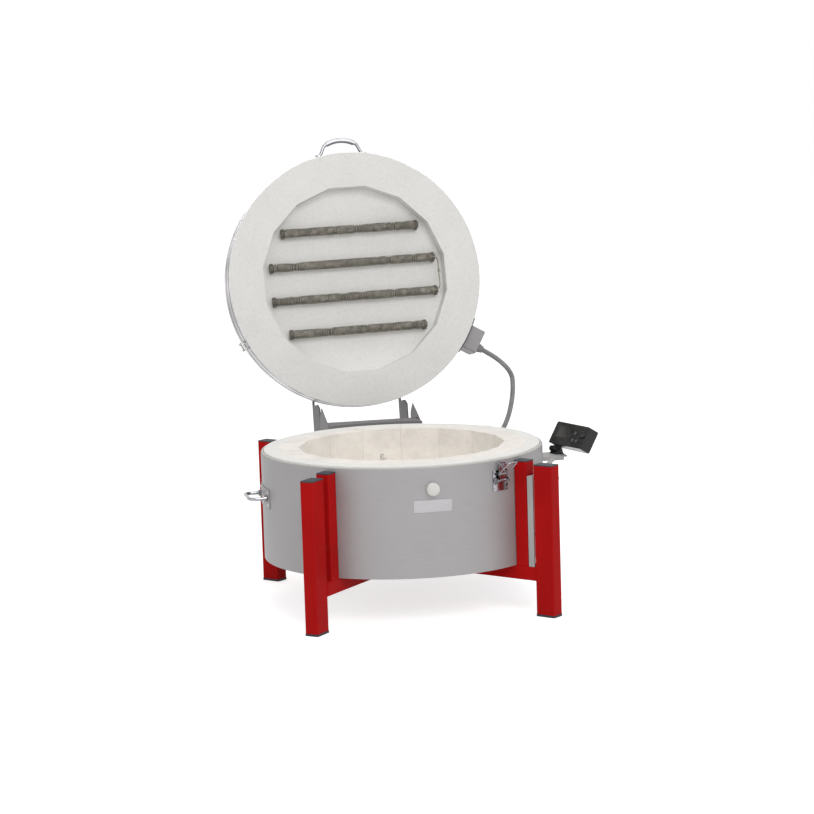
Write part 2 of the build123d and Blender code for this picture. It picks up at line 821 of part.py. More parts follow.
def wire_line(half_turns, length):
    """Line of one heating wire, wound round the X axis from the saddle side."""
    step = length / half_turns
    rise = step / pi
    knots, ways = [], []
    for k in range(half_turns + 1):
        spin = k * pi
        knots.append(Vector(k * step - length / 2, coil_radius * sin(spin),
                            coil_radius * cos(spin)))
        ways.append(Vector(rise, coil_radius * cos(spin), -coil_radius * sin(spin)).normalized())
    with BuildLine(mode=Mode.PRIVATE) as line:
        for k in range(half_turns):
            half_turn(knots[k], knots[k + 1], ways[k], ways[k + 1])
    return line.line, Plane(knots[0], z_dir=ways[0])


def wire_points(half_turns, length):
    """Points along one heating wire, in order."""
    edges = wire_line(half_turns, length)[0].edges()
    share = points_per_half_turn // 2
    return [edge @ (k / share) for edge in edges for k in range(share)]


def winding(half_turns, length):
    """Solid of one heating wire."""
    line, start = wire_line(half_turns, length)
    with BuildPart(mode=Mode.PRIVATE) as wire:
        with BuildLine():
            add(line)
        with BuildSketch(start):
            Circle(wire_radius)
        sweep()
    return wire.part


windings = {
    outer_tube_length: (2 * outer_turns, outer_tube_length - 2 * winding_margin),
    inner_tube_length: (2 * inner_turns + 1, inner_tube_length - 2 * winding_margin),
}
wires = {length: winding(*counts) for length, counts in windings.items()}
with BuildPart() as heating_coils:
    for row, length in tubes:
        level = turned.from_local_coords(Vector(0, row, coil_depth))
        add(wires[length].moved(on_lid(Plane(level, x_dir=turned.x_dir)).location))
keep(heating_coils, "heating_coils")

for half_turns, length in windings.values():
    points = wire_points(half_turns, length)
    gap = min(
        (a - b).length - 2 * wire_radius
        for k, a in enumerate(points)
        for b in points[k + points_per_half_turn:]
    )
    print(f"winding of {half_turns / 2} turns: least gap to itself {gap:.2f} mm")

# Wires that end the windings: a link between the inner tubes, and leads to the panel
with BuildPart() as element_leads:
    for row, length in tubes:
        reach = length / 2 - winding_margin
        ends = (-reach, reach) if length == outer_tube_length else (-reach,)
        for x in ends:
            side = wire_radius + 0.4 if x > 0 else -wire_radius - 0.4
            point = turned.from_local_coords(Vector(x + side * 2, row, coil_depth + coil_radius))
            with BuildSketch(on_lid(Plane(point))):
                Circle(wire_radius)
            extrude(amount=recess_depth - coil_depth - coil_radius)
    link_start = inner_tube_length / 2 - winding_margin + wire_radius + 0.4
    front = coil_depth - coil_radius
    out = link_start + 22
    corners = [
        on_lid(Plane(turned.from_local_coords(Vector(*point)))).origin
        for point in (
            (link_start, -tube_pitch / 2, front),
            (out, -tube_pitch / 2, front),
            (out, tube_pitch / 2, front),
            (link_start, tube_pitch / 2, front),
        )
    ]
    with BuildLine():
        FilletPolyline(*corners, radius=16)
    with BuildSketch(Plane(corners[0], z_dir=corners[1] - corners[0])):
        Circle(wire_radius)
    sweep()
keep(element_leads, "element_leads")

# Lid fittings: tension bands, bolts of the arms and bands, handle, and catch
with BuildPart() as tension_bands:
    gap_half = half_angle(clamp_gap, lid_radius)
    inside = lid_radius + fit
    lug_foot = outward(clamp_angle) * (inside + (band_sheet + clamp_lug) / 2)
    for level in band_levels:
        with BuildSketch(on_lid(Plane.XY.offset(level - band_width / 2))):
            add(ring_sector(inside, inside + band_sheet, clamp_angle + 180, 180 - gap_half))
            for side in (-1, 1):
                shift = sideways(clamp_angle) * side * (clamp_gap / 2 + 1)
                with Locations((lug_foot.X + shift.X, lug_foot.Y + shift.Y)):
                    Rectangle(band_sheet + clamp_lug, 2, rotation=clamp_angle - 90)
        extrude(amount=band_width)
        bolt_line = outward(clamp_angle) * (inside + 8) + sideways(clamp_angle) * -20
        with BuildSketch(on_lid(Plane(bolt_line + Vector(0, 0, level),
                                      x_dir=outward(clamp_angle),
                                      z_dir=sideways(clamp_angle)))):
            Circle(clamp_bolt + fit)
        extrude(amount=40, mode=Mode.SUBTRACT)
keep(tension_bands, "tension_bands")

bolt_rows = (arm_forward + 20, (arm_forward + flange_back) / 2, flange_back - 24)
with BuildPart() as lid_bolts:
    for side in (-1, 1):
        for row in bolt_rows:
            seat = Plane(((arm_outside - arm_sheet - 11) * side, row, lid_thickness + arm_sheet))
            with BuildSketch(on_lid(seat)):
                RegularPolygon(6.5, 6)
            extrude(amount=5)
    lug_face = clamp_gap / 2 + 2 + fit
    for level in band_levels:
        for start, length, radius in (
            (-lug_face - 4, 2 * lug_face + 8, clamp_bolt),
            (-lug_face - 4, 4, clamp_bolt + 2.5),
            (lug_face, 5, clamp_bolt + 2.5),
        ):
            point = outward(clamp_angle) * (inside + 8) + sideways(clamp_angle) * start
            with BuildSketch(on_lid(Plane(point + Vector(0, 0, level),
                                          x_dir=outward(clamp_angle),
                                          z_dir=sideways(clamp_angle)))):
                Circle(radius)
            extrude(amount=length)
keep(lid_bolts, "lid_bolts")

handle_plane = on_lid(spoke(lid_turn, handle_level))
bow_middle = lid_radius + grip_reach - bow_radius
with BuildLine(mode=Mode.PRIVATE) as bow:
    arc = CenterArc((bow_middle, 0), bow_radius, 0, bow_half)
    shoulder = JernArc(arc @ 1, arc % 1, grip_bend, leg_turn)
    leg_reach = ((shoulder @ 1).X - lid_radius + handle_sink) / -(shoulder % 1).X
    leg = Line(shoulder @ 1, (shoulder @ 1) + (shoulder % 1) * leg_reach)
    mirror(about=Plane.XZ)
bow_foot = leg @ 1
with BuildPart() as lid_handle:
    with BuildLine():
        add(bow.line.moved(handle_plane.location))
    with BuildSketch(on_lid(Plane(spoke(lid_turn, handle_level).from_local_coords(bow_foot),
                                  z_dir=outward(lid_turn).rotate(
                                      Axis.Z, degrees(atan2((leg % 1).Y, (leg % 1).X)))))):
        Circle(grip_rod)
    sweep()
    for side in (-bow_foot.Y, bow_foot.Y):
        boss = spoke(lid_turn, handle_level).from_local_coords(Vector(bow_foot.X, side))
        with BuildSketch(on_lid(Plane(boss, z_dir=outward(lid_turn)))):
            Circle(handle_boss)
        extrude(amount=handle_sink + 3)
    with BuildSketch(on_lid(Plane.XY)):
        Circle(lid_radius + fit)
    extrude(amount=lid_thickness, mode=Mode.SUBTRACT)
keep(lid_handle, "lid_handle")

with BuildLine(mode=Mode.PRIVATE) as grip_line:
    CenterArc((bow_middle, 0), bow_radius, -grip_half, 2 * grip_half)
grip_start = grip_line.line @ 0
with BuildPart() as handle_grip:
    with BuildLine():
        add(grip_line.line.moved(handle_plane.location))
    grip_face = Plane(spoke(lid_turn, handle_level).from_local_coords(grip_start),
                      z_dir=sideways(lid_turn).rotate(Axis.Z, -grip_half))
    with BuildSketch(on_lid(grip_face)):
        Circle(grip_radius)
        Circle(grip_rod + fit, mode=Mode.SUBTRACT)
    sweep()
keep(handle_grip, "handle_grip")

with BuildPart() as lid_catch:
    catch_half = half_angle(catch_width, lid_radius)
    hook_end = lid_radius + fit + catch_reach
    for low, high, start, end in (
        (1, catch_tall, lid_radius + fit, lid_radius + fit + catch_sheet),
        (catch_low, catch_low + catch_sheet, lid_radius + fit, hook_end),
        (catch_low, catch_low + catch_sheet + catch_lip, hook_end - catch_sheet, hook_end),
    ):
        with BuildSketch(on_lid(Plane.XY.offset(low))):
            add(ring_sector(start, end, latch_angle, catch_half))
        extrude(amount=high - low)
keep(lid_catch, "lid_catch")

# Terminal box of the lid: curved backing plate, box with an open top, cover, block, gland
plate_inside = inside + band_sheet + fit
box_low = (lid_thickness - box_tall) / 2
box_outer = lid_radius + box_reach
with BuildPart() as terminal_plate:
    plate_half = half_angle(box_plate_width, lid_radius)
    with BuildSketch(on_lid(Plane.XY.offset(4))):
        add(ring_sector(plate_inside, plate_inside + 2, box_angle, plate_half))
    extrude(amount=lid_thickness - 8)
    with BuildSketch(on_lid(Plane.XY.offset(band_levels[0] + band_width / 2 + 3))):
        add(ring_sector(inside, plate_inside + 1, box_angle, plate_half))
    extrude(amount=band_levels[1] - band_levels[0] - band_width - 6)
keep(terminal_plate, "terminal_plate")

with BuildPart() as terminal_box:
    wall_start = facing(box_angle, box_low + box_tall / 2, lid_radius - 4)
    with BuildSketch(on_lid(wall_start)):
        RectangleRounded(box_width, box_tall, 5)
    extrude(amount=box_reach + 4)
    hollow = facing(box_angle, box_low + box_tall / 2 + box_wall, lid_radius - 4)
    with BuildSketch(on_lid(hollow)):
        Rectangle(box_width - 2 * box_wall, box_tall)
    extrude(amount=box_reach + 4 - box_wall, mode=Mode.SUBTRACT)
    with BuildSketch(on_lid(Plane.XY)):
        Circle(plate_inside + 2 + fit)
    extrude(amount=lid_thickness, mode=Mode.SUBTRACT)
    gland_spot = outward(box_angle) * (box_outer - 5) + sideways(box_angle) * 12
    gland_spot = gland_spot + Vector(0, 0, lid_thickness / 2)
    with BuildSketch(on_lid(Plane(gland_spot, z_dir=outward(box_angle)))):
        Circle(conduit_radius + 2 + fit)
    extrude(amount=10, mode=Mode.SUBTRACT)
keep(terminal_box, "terminal_box")

with BuildPart() as terminal_cover:
    with BuildSketch(on_lid(spoke(box_angle, box_low + box_tall + fit))):
        with Locations(((box_outer + plate_inside + 3) / 2, 0)):
            RectangleRounded(box_outer - plate_inside - 3, box_width, 4)
        Circle(plate_inside + 2 + fit, mode=Mode.SUBTRACT)
    extrude(amount=2)
    with BuildSketch(on_lid(spoke(box_angle, box_low + box_tall + fit + 2))):
        for x in (plate_inside + 12, box_outer - 8):
            for y in (-box_width / 2 + 8, box_width / 2 - 8):
                with Locations((x, y)):
                    Circle(3)
    extrude(amount=1.5)
keep(terminal_cover, "terminal_cover")

with BuildPart() as terminal_block:
    block_spot = outward(box_angle) * (plate_inside + 2 + fit)
    block = Plane(block_spot + Vector(0, 0, box_low + box_tall / 2 + 4),
                  x_dir=sideways(box_angle), z_dir=outward(box_angle))
    with BuildSketch(on_lid(block)):
        Rectangle(58, 24)
    extrude(amount=16)
    with BuildSketch(on_lid(block.offset(16))):
        with GridLocations(14, 0, 4, 1):
            Circle(4)
    extrude(amount=3)
keep(terminal_block, "terminal_block")


def gland(seat, out, place):
    """Cable gland: a thread through the wall, a hexagon nut outside it, and a dome."""
    with BuildPart(mode=Mode.PRIVATE) as body:
        for start, length, face in (
            (-box_wall - fit - 6, 6, "nut"),
            (-box_wall - 6, box_wall + 7 + fit, "thread"),
            (fit, gland_length - 8, "nut"),
            (gland_length - 8, 8, "dome"),
        ):
            with BuildSketch(Plane(place * Plane(seat + out * start, z_dir=out).location)):
                if face == "nut":
                    RegularPolygon(gland_radius, 6)
                else:
                    Circle(conduit_radius + (2 if face == "thread" else 3.5))
            extrude(amount=length)
        with BuildSketch(Plane(place * Plane(seat + out * -12, z_dir=out).location)):
            Circle(conduit_radius + fit)
        extrude(amount=gland_length + 14, mode=Mode.SUBTRACT)
    return body.part


with BuildPart() as terminal_gland:
    gland_seat = gland_spot + outward(box_angle) * 5
    add(gland(gland_seat, outward(box_angle), lid_place))
keep(terminal_gland, "terminal_gland")

# Rear connection box on the drum: open at the top under a cap, relay inside, two glands
rear_face = drum_radius + rear_deep
rear_top = rear_low + rear_tall
with BuildPart() as rear_box:
    box_middle = rear_low + rear_tall / 2
    with BuildSketch(facing(rear_angle, box_middle, drum_radius - 8)):
        RectangleRounded(rear_width, rear_tall, 4)
    extrude(amount=rear_deep + 8)
    with BuildSketch(facing(rear_angle, box_middle + rear_wall, drum_radius - 8)):
        Rectangle(rear_width - 2 * rear_wall, rear_tall)
    extrude(amount=rear_deep + 8 - rear_wall, mode=Mode.SUBTRACT)
    with BuildSketch(Plane.XY.offset(rear_low)):
        Circle(drum_radius + fit)
    extrude(amount=rear_tall, mode=Mode.SUBTRACT)
    with BuildSketch(Plane.XY.offset(rear_low)):
        strip = half_angle(rear_width - 2, drum_radius)
        add(ring_sector(drum_radius + fit, drum_radius + fit + rear_wall, rear_angle, strip))
    extrude(amount=rear_tall)
    rear_seat = outward(rear_angle) * rear_face + Vector(0, 0, rear_low + 62)
    with BuildSketch(Plane(rear_seat + outward(rear_angle) * -8, z_dir=outward(rear_angle))):
        Circle(conduit_radius + 2 + fit)
    extrude(amount=12, mode=Mode.SUBTRACT)
    inlet_seat = outward(rear_angle) * (drum_radius + 34) + Vector(0, 0, rear_low)
    with BuildSketch(Plane(inlet_seat + Vector(0, 0, -4))):
        Circle(conduit_radius + 2 + fit)
    extrude(amount=10, mode=Mode.SUBTRACT)
keep(rear_box, "rear_box")

with BuildPart() as rear_box_cap:
    with BuildSketch(spoke(rear_angle, rear_top + fit)):
        with Locations(((drum_radius + 1 + rear_face + 2.5) / 2, 0)):
            Rectangle(rear_face + 1.5 - drum_radius, rear_width + 5)
        Circle(drum_radius + fit, mode=Mode.SUBTRACT)
    extrude(amount=2)
    with BuildSketch(spoke(rear_angle, rear_top - 12)):
        with Locations(((drum_radius + 20 + rear_face + 2.5) / 2, 0)):
            Rectangle(rear_face + 2.5 - drum_radius - 20, rear_width + 5)
        with Locations(((drum_radius + rear_face + 0.5) / 2, 0)):
            Rectangle(rear_deep + 0.5, rear_width + 1, mode=Mode.SUBTRACT)
    extrude(amount=12.5 + fit)
keep(rear_box_cap, "rear_box_cap")

with BuildPart() as relay:
    relay_spot = outward(rear_angle) * (drum_radius + fit + rear_wall)
    relay_plane = Plane(relay_spot + Vector(0, 0, rear_top - 40), x_dir=sideways(rear_angle),
                        z_dir=outward(rear_angle))
    with BuildSketch(relay_plane):
        Rectangle(46, 58)
    extrude(amount=34)
    with BuildSketch(relay_plane.offset(34)):
        Rectangle(46, 30)
    extrude(amount=12)
    with BuildSketch(relay_plane.offset(-4)):
        Rectangle(70, 34)
    extrude(amount=8)
    with BuildSketch(Plane.XY.offset(rear_low)):
        Circle(drum_radius + fit + rear_wall + fit)
    extrude(amount=rear_tall, mode=Mode.SUBTRACT)
keep(relay, "relay")

with BuildPart() as rear_glands:
    add(gland(rear_seat, outward(rear_angle), Location()))
    add(gland(inlet_seat, Vector(0, 0, -1), Location()))
keep(rear_glands, "rear_glands")

# Controller: shelf on the drum, tilting cradle, case with window, keys and rocker switch
with BuildPart() as controller_shelf:
    reach_middle = drum_radius - 4 + (shelf_reach + 4) / 2
    with BuildSketch(spoke(shelf_angle, shelf_height - shelf_sheet)):
        with Locations((reach_middle, 0)):
            Rectangle(shelf_reach + 4, shelf_width)
        fillet(vertices().sort_by(Axis.X)[-2:], shelf_corner)
    extrude(amount=shelf_sheet)
    for side in (-shelf_width / 2, shelf_width / 2 - shelf_sheet):
        with BuildSketch(spoke(shelf_angle, shelf_height - 11)):
            with Locations((drum_radius - 4 + (shelf_reach - 8) / 2, side + shelf_sheet / 2)):
                Rectangle(shelf_reach - 8, shelf_sheet)
        extrude(amount=11 - shelf_sheet / 2)
    with BuildSketch(Plane.XY.offset(shelf_height - shelf_drop)):
        Circle(drum_radius + fit + shelf_sheet / 2)
    extrude(amount=shelf_drop, mode=Mode.SUBTRACT)
    strip = half_angle(shelf_width, drum_radius)
    with BuildSketch(Plane.XY.offset(shelf_height - shelf_drop)):
        add(ring_sector(drum_radius + fit, drum_radius + fit + shelf_sheet, shelf_angle, strip))
    extrude(amount=shelf_drop)
    # Stem between the two tubes of the front right leg, and the strap that ties it to the shelf
    lane = (upright_outer + leg_inner) / 2
    with BuildSketch(spoke(leg_angle, beam_top + fit)):
        with Locations((lane, (stem_sheet - upright_size) / 2)):
            Rectangle(stem_width, stem_sheet)
    extrude(amount=shelf_height - beam_top - fit)
    stem_place = outward(leg_angle) * lane
    stem_side = sideways(leg_angle) * upright_size / 2
    strap_end = outward(shelf_angle) * upright_outer - sideways(shelf_angle) * (shelf_width / 2 - shelf_corner)
    with BuildSketch(Plane.XY.offset(shelf_height - shelf_sheet)):
        with BuildLine():
            Polyline(stem_place - stem_side, stem_place + stem_side * 1.3, strap_end)
        trace(line_width=strap_width)
    extrude(amount=shelf_sheet)
keep(controller_shelf, "controller_shelf")

case_level = sideways(case_facing)
case_out = outward(case_facing) * cos(radians(case_lean)) + Vector(0, 0, sin(radians(case_lean)))
case_up = case_out.cross(case_level)
case_origin = Vector(drum_radius + case_stand, -case_ahead, shelf_height + case_rise)
tilt_axis = case_origin - case_up * (case_tall / 2 + tilt_drop)


def on_case(along, up, out):
    """Plane on the controller case: X along it, Z out of its face."""
    point = case_origin + case_level * along + case_up * up + case_out * out
    return Plane(point, x_dir=case_level, z_dir=case_out)


def across_tilt(along):
    """Plane square to the tilting axis, its Y straight up."""
    return Plane(tilt_axis + case_level * along, x_dir=outward(case_facing + 180),
                 z_dir=case_level)


cradle_middle = tilt_axis + case_level * cradle_along
with BuildPart() as controller_cradle:
    foot_level = shelf_height + fit
    foot_drop = tilt_axis.Z - foot_level
    plane = Plane((cradle_middle.X, cradle_middle.Y, foot_level), x_dir=case_level)
    with BuildSketch(plane):
        Rectangle(2 * cradle_half, 26)
    extrude(amount=cradle_sheet)
    for side in (-cradle_half, cradle_half - cradle_sheet):
        with BuildSketch(across_tilt(cradle_along + side)):
            with BuildLine():
                Polyline((-13, -foot_drop), (13, -foot_drop), (6, 2), (-6, 2), close=True)
            make_face()
            Circle(7)
            Circle(tilt_pin + fit, mode=Mode.SUBTRACT)
        extrude(amount=cradle_sheet)
    for along in (-9, 9):
        with BuildSketch(plane.offset(cradle_sheet)):
            with Locations((along, 0)):
                RegularPolygon(4, 6)
        extrude(amount=2.5)
keep(controller_cradle, "controller_cradle")

front_sheet = 4.0
with BuildPart() as controller_back:
    back_deep = case_deep - front_sheet
    with BuildSketch(on_case(0, 0, -case_deep / 2)):
        RectangleRounded(case_width, case_tall, 7)
    extrude(amount=back_deep)
    with BuildSketch(on_case(0, 0, -case_deep / 2 + case_wall)):
        RectangleRounded(case_width - 2 * case_wall, case_tall - 2 * case_wall, 5)
    extrude(amount=back_deep, mode=Mode.SUBTRACT)
    lug_start = cradle_along - cradle_half + cradle_sheet + 1
    lug_length = 2 * (cradle_half - cradle_sheet - 1)
    with BuildSketch(across_tilt(lug_start)):
        Circle(6.5)
    extrude(amount=lug_length)
    lug_plane = Plane(tilt_axis + case_level * lug_start, x_dir=case_up, z_dir=case_level)
    with BuildSketch(lug_plane):
        with Locations((tilt_drop / 2 + 0.6, 0)):
            Rectangle(tilt_drop + 1.2, 10)
    extrude(amount=lug_length)
    with BuildSketch(lug_plane.offset(-1)):
        Circle(tilt_pin + fit)
    extrude(amount=lug_length + 2, mode=Mode.SUBTRACT)
keep(controller_back, "controller_back")

window_along, window_up = -26.0, 6.0
key_spots = ((28.0, 8.0), (28.0, -14.0), (48.0, -14.0))
rocker_along, rocker_up = 66.0, 10.0
rocker_axis = case_origin + case_level * rocker_along + case_up * rocker_up
rocker_axis = rocker_axis + case_out * (case_deep / 2 - 3)
with BuildPart() as controller_front:
    face_back = case_deep / 2 - front_sheet
    with BuildSketch(on_case(0, 0, face_back + 0.2)):
        RectangleRounded(case_width, case_tall, 7)
    extrude(amount=front_sheet - 0.2)
    with BuildSketch(on_case(0, 0, face_back - 2)):
        RectangleRounded(case_width - 2 * case_wall - 0.6, case_tall - 2 * case_wall - 0.6, 5)
        Rectangle(case_width - 4 * case_wall - 2, case_tall - 4 * case_wall, mode=Mode.SUBTRACT)
    extrude(amount=2.2)
    with BuildSketch(on_case(window_along, window_up, case_deep / 2 - 1.8)):
        RectangleRounded(window_width + 0.6, window_tall + 0.6, 3)
    extrude(amount=4, mode=Mode.SUBTRACT)
    with BuildSketch(on_case(window_along, window_up, face_back - 4)):
        Rectangle(window_width - 10, window_tall - 10)
    extrude(amount=case_deep, mode=Mode.SUBTRACT)
    for along, up in key_spots:
        with BuildSketch(on_case(along, up, face_back - 4)):
            Circle(key_radius + fit)
        extrude(amount=case_deep, mode=Mode.SUBTRACT)
    with BuildSketch(on_case(rocker_along, rocker_up, face_back - 4)):
        Rectangle(rocker_width + 2 * fit, rocker_tall + 2 * fit)
    extrude(amount=case_deep, mode=Mode.SUBTRACT)
    pin_start = rocker_axis - case_level * (rocker_width / 2 + rocker_pin_reach + fit)
    with BuildSketch(Plane(pin_start, x_dir=case_up, z_dir=case_level)):
        Circle(rocker_pin + fit)
    extrude(amount=rocker_width + 2 * (rocker_pin_reach + fit), mode=Mode.SUBTRACT)
keep(controller_front, "controller_front")

with BuildPart() as controller_window:
    with BuildSketch(on_case(window_along, window_up, case_deep / 2 - 1.5)):
        RectangleRounded(window_width, window_tall, 3)
    extrude(amount=1.5)
keep(controller_window, "controller_window")

for name, (along, up) in zip(("key_one", "key_two", "key_start"), key_spots):
    with BuildPart() as key:
        with BuildSketch(on_case(along, up, face_back - key_travel - 1.5)):
            Circle(key_radius + 1.5)
        extrude(amount=1.5)
        with BuildSketch(on_case(along, up, face_back - key_travel)):
            Circle(key_radius)
        extrude(amount=front_sheet + key_travel + 1.6)
    keep(key, name)

with BuildPart() as power_switch:
    tipped = Plane(rocker_axis - case_level * rocker_width / 2,
                   x_dir=case_up.rotate(Axis((0, 0, 0), tuple(case_level)), -7),
                   z_dir=case_level)
    with BuildSketch(tipped):
        with BuildLine():
            Polyline((-12, -4), (12, -4), (12, 5.2), (0, 3.4), (-12, 5.2), close=True)
        make_face()
    extrude(amount=rocker_width)
    with BuildSketch(tipped.offset(-rocker_pin_reach)):
        Circle(rocker_pin)
    extrude(amount=rocker_width + 2 * rocker_pin_reach)
keep(power_switch, "power_switch")

with BuildPart() as circuit_board:
    with BuildSketch(on_case(0, 0, -case_deep / 2 + case_wall + 4)):
        Rectangle(case_width - 12, case_tall - 12)
    extrude(amount=1.6)
    board_face = -case_deep / 2 + case_wall + 5.6
    with BuildSketch(on_case(window_along, window_up, board_face)):
        Rectangle(window_width - 12, window_tall - 12)
    extrude(amount=15)
    for along, up in key_spots:
        with BuildSketch(on_case(along, up, board_face)):
            Rectangle(6, 6)
        extrude(amount=face_back - 2 * key_travel - 1.8 - board_face)
    for along, up in ((-72, -20), (72, -22), (-72, 18)):
        with BuildSketch(on_case(along, up, -case_deep / 2 + case_wall)):
            Circle(3)
        extrude(amount=4)
keep(circuit_board, "circuit_board")

with BuildPart() as tilt_knob:
    knob_start = cradle_along - cradle_half - 1 - 9
    shaft = 2 * cradle_half + 4
    for start, length, radius in (
        (knob_start, 9, knob_size),
        (knob_start + 8, shaft + 2, tilt_pin),
        (knob_start + 8 + shaft + 1, 3, tilt_pin + 2.5),
    ):
        with BuildSketch(across_tilt(start)):
            Circle(radius)
        extrude(amount=length)
    with BuildSketch(across_tilt(knob_start - 1)):
        with PolarLocations(knob_size + 1.5, 8):
            Circle(2.5)
    extrude(amount=8, mode=Mode.SUBTRACT)
keep(tilt_knob, "tilt_knob")

# Conduit between the lid's box and the rear box, in runs that meet in arcs
conduit_start = (lid_place * Plane(gland_seat + outward(box_angle) * (gland_length - 6)).location)
conduit_way = on_lid(Plane(gland_seat, z_dir=outward(box_angle))).z_dir
conduit_end = rear_seat + outward(rear_angle) * (gland_length - 6)
route = [
    conduit_start.position,
    conduit_start.position + conduit_way * 112,
    Vector(496, 612, 492),
    Vector(452, 578, 380),
    conduit_end + outward(rear_angle) * 120,
    conduit_end,
]
runs = [(b - a).length for a, b in zip(route, route[1:])]
turns = [
    (b - a).get_angle(c - b) for a, b, c in zip(route, route[1:], route[2:])
]
bends = [
    0.45 * min(before, after) / tan(radians(turn / 2))
    for before, after, turn in zip(runs, runs[1:], turns)
]
with BuildPart() as conduit:
    with BuildLine() as conduit_line:
        FilletPolyline(*route, radius=bends)
    with BuildSketch(Plane(route[0], z_dir=conduit_way)):
        Circle(conduit_radius)
    sweep()
keep(conduit, "conduit")
conduit_length = sum(edge.length for edge in conduit_line.edges())
print("conduit radii", [round(bend, 1) for bend in bends], "runs", [round(r, 1) for r in runs])
print(f"conduit {conduit_length:.1f} mm: volume {conduit.part.volume:.0f} mm3, "
      f"section times length {pi * conduit_radius**2 * conduit_length:.0f} mm3")

# One frame for every piece: X and Y from the middle of the whole kiln, Z from its feet
boxes = [piece.bounding_box() for piece in pieces if piece.label != "conduit"]
shift = Vector(
    -(min(box.min.X for box in boxes) + max(box.max.X for box in boxes)) / 2,
    -(min(box.min.Y for box in boxes) + max(box.max.Y for box in boxes)) / 2,
    -min(box.min.Z for box in boxes),
)
for piece in pieces:
    placed = piece.moved(Location(shift))
    placed.label = piece.label
    export_step(placed, f"parts/{piece.label}.step")
print(f"pieces {len(pieces)}, shift {shift.X:.3f} {shift.Y:.3f} {shift.Z:.3f}")
for name, point in (
    ("hinge", Vector(0, hinge_back, hinge_height)),
    ("latch lever", outward(latch_angle) * latch_radius + Vector(0, 0, latch_pivot_height)),
    ("latch loop", outward(latch_angle) * latch_radius + Vector(0, 0, loop_height)),
    ("tilt axis", tilt_axis + case_level * cradle_along),
    ("rocker", rocker_axis),
):
    print(name, [round(value, 3) for value in tuple(point + shift)])
for name, way in (
    ("latch pins", sideways(latch_angle)),
    ("case level", case_level),
    ("case up", case_up),
    ("case out", case_out),
):
    print(name, [round(value, 5) for value in tuple(way)])
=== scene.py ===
"""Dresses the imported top-loading glass fusing kiln: finishes, wound wires, fasteners, welds and conduit.

Lengths in the classes are millimetres in the drum's own frame, as in the part's source: the drum's
axis is Z, the front of the kiln is -Y, and angles round the drum are counted from the front, in
degrees. The lid's fittings are written for the lid lying level at z = 0, and `ROW_FROM_LID` carries
them to the open lid. Both matrices end in metres in the row frame.
"""

import logging
import math
import random
from collections.abc import Callable, Sequence
from dataclasses import dataclass
from enum import Enum

import bpy
from mathutils import Matrix, Vector


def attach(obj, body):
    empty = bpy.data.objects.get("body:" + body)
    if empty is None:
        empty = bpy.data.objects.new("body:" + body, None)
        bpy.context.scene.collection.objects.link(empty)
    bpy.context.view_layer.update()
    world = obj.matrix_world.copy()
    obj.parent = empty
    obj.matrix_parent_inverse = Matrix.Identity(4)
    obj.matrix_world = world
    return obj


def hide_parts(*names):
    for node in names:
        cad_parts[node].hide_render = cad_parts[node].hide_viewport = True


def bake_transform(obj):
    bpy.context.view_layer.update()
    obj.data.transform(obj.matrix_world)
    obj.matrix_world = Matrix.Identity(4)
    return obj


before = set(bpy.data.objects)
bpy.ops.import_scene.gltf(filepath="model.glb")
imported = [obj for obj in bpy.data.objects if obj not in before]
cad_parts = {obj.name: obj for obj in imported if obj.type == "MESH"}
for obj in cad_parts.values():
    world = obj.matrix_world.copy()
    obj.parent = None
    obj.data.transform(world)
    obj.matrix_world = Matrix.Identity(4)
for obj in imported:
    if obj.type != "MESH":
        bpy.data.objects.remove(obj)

log = logging.getLogger("kiln")

Socket = bpy.types.NodeSocket

MM = 0.001
PHOTO_WIDTH = 814
HINGE = Vector((0.0, 500.0, 405.0))
CLOSED_LEVEL = 456.0
LID_OPENING = 100.0
CIRCLE_STEPS = 180
UP = Vector((0.0, 0.0, 1.0))
ROW_FROM_DRUM = Matrix.Scale(MM, 4) @ Matrix.Translation((-48.366, -196.731, 0.0))
ROW_FROM_LID = (
    ROW_FROM_DRUM
    @ Matrix.Translation(HINGE)
    @ Matrix.Rotation(math.radians(-LID_OPENING), 4, "X")
    @ Matrix.Translation((0.0, -HINGE.y, CLOSED_LEVEL - HINGE.z))
)


def outward(angle: float) -> Vector:
    """Unit vector out of the drum at an angle counted from the front."""
    return Vector((math.sin(math.radians(angle)), -math.cos(math.radians(angle)), 0.0))


def sideways(angle: float) -> Vector:
    """Unit vector along the wall, to the right of someone who faces it."""
    return Vector((math.cos(math.radians(angle)), math.sin(math.radians(angle)), 0.0))


def level_circle(radius: float, height: float) -> list[Vector]:
    """Points of a level circle round the axis."""
    return [outward(360 * k / CIRCLE_STEPS) * radius + UP * height for k in range(CIRCLE_STEPS)]


def half_angle(width: float, radius: float) -> float:
    """Half of the angle, in degrees, that a strip of this width takes up at the radius."""
    return math.degrees(width / 2 / radius)


def seat(origin: Vector, normal: Vector, across: Vector) -> Matrix:
    """Place of a form that stands on a surface.

    Args:
        origin: Point on the surface.
        normal: Direction out of the surface, which becomes the form's Z.
        across: Direction that the form's X follows, as nearly as it can.

    Returns:
        The matrix from the form's own millimetres to those of the drum or the lid.
    """
    z = normal.normalized()
    x = (across - z * across.dot(z)).normalized()
    y = z.cross(x)
    turn = Matrix((x, y, z)).transposed().to_4x4()
    return Matrix.Translation(origin) @ turn


def wall_seat(angle: float, height: float, radius: float, turn: float = 0.0) -> Matrix:
    """Place on a round wall, facing outwards, shifted round it by `turn` degrees."""
    return seat(outward(angle + turn) * radius + UP * height, outward(angle + turn), sideways(angle + turn))


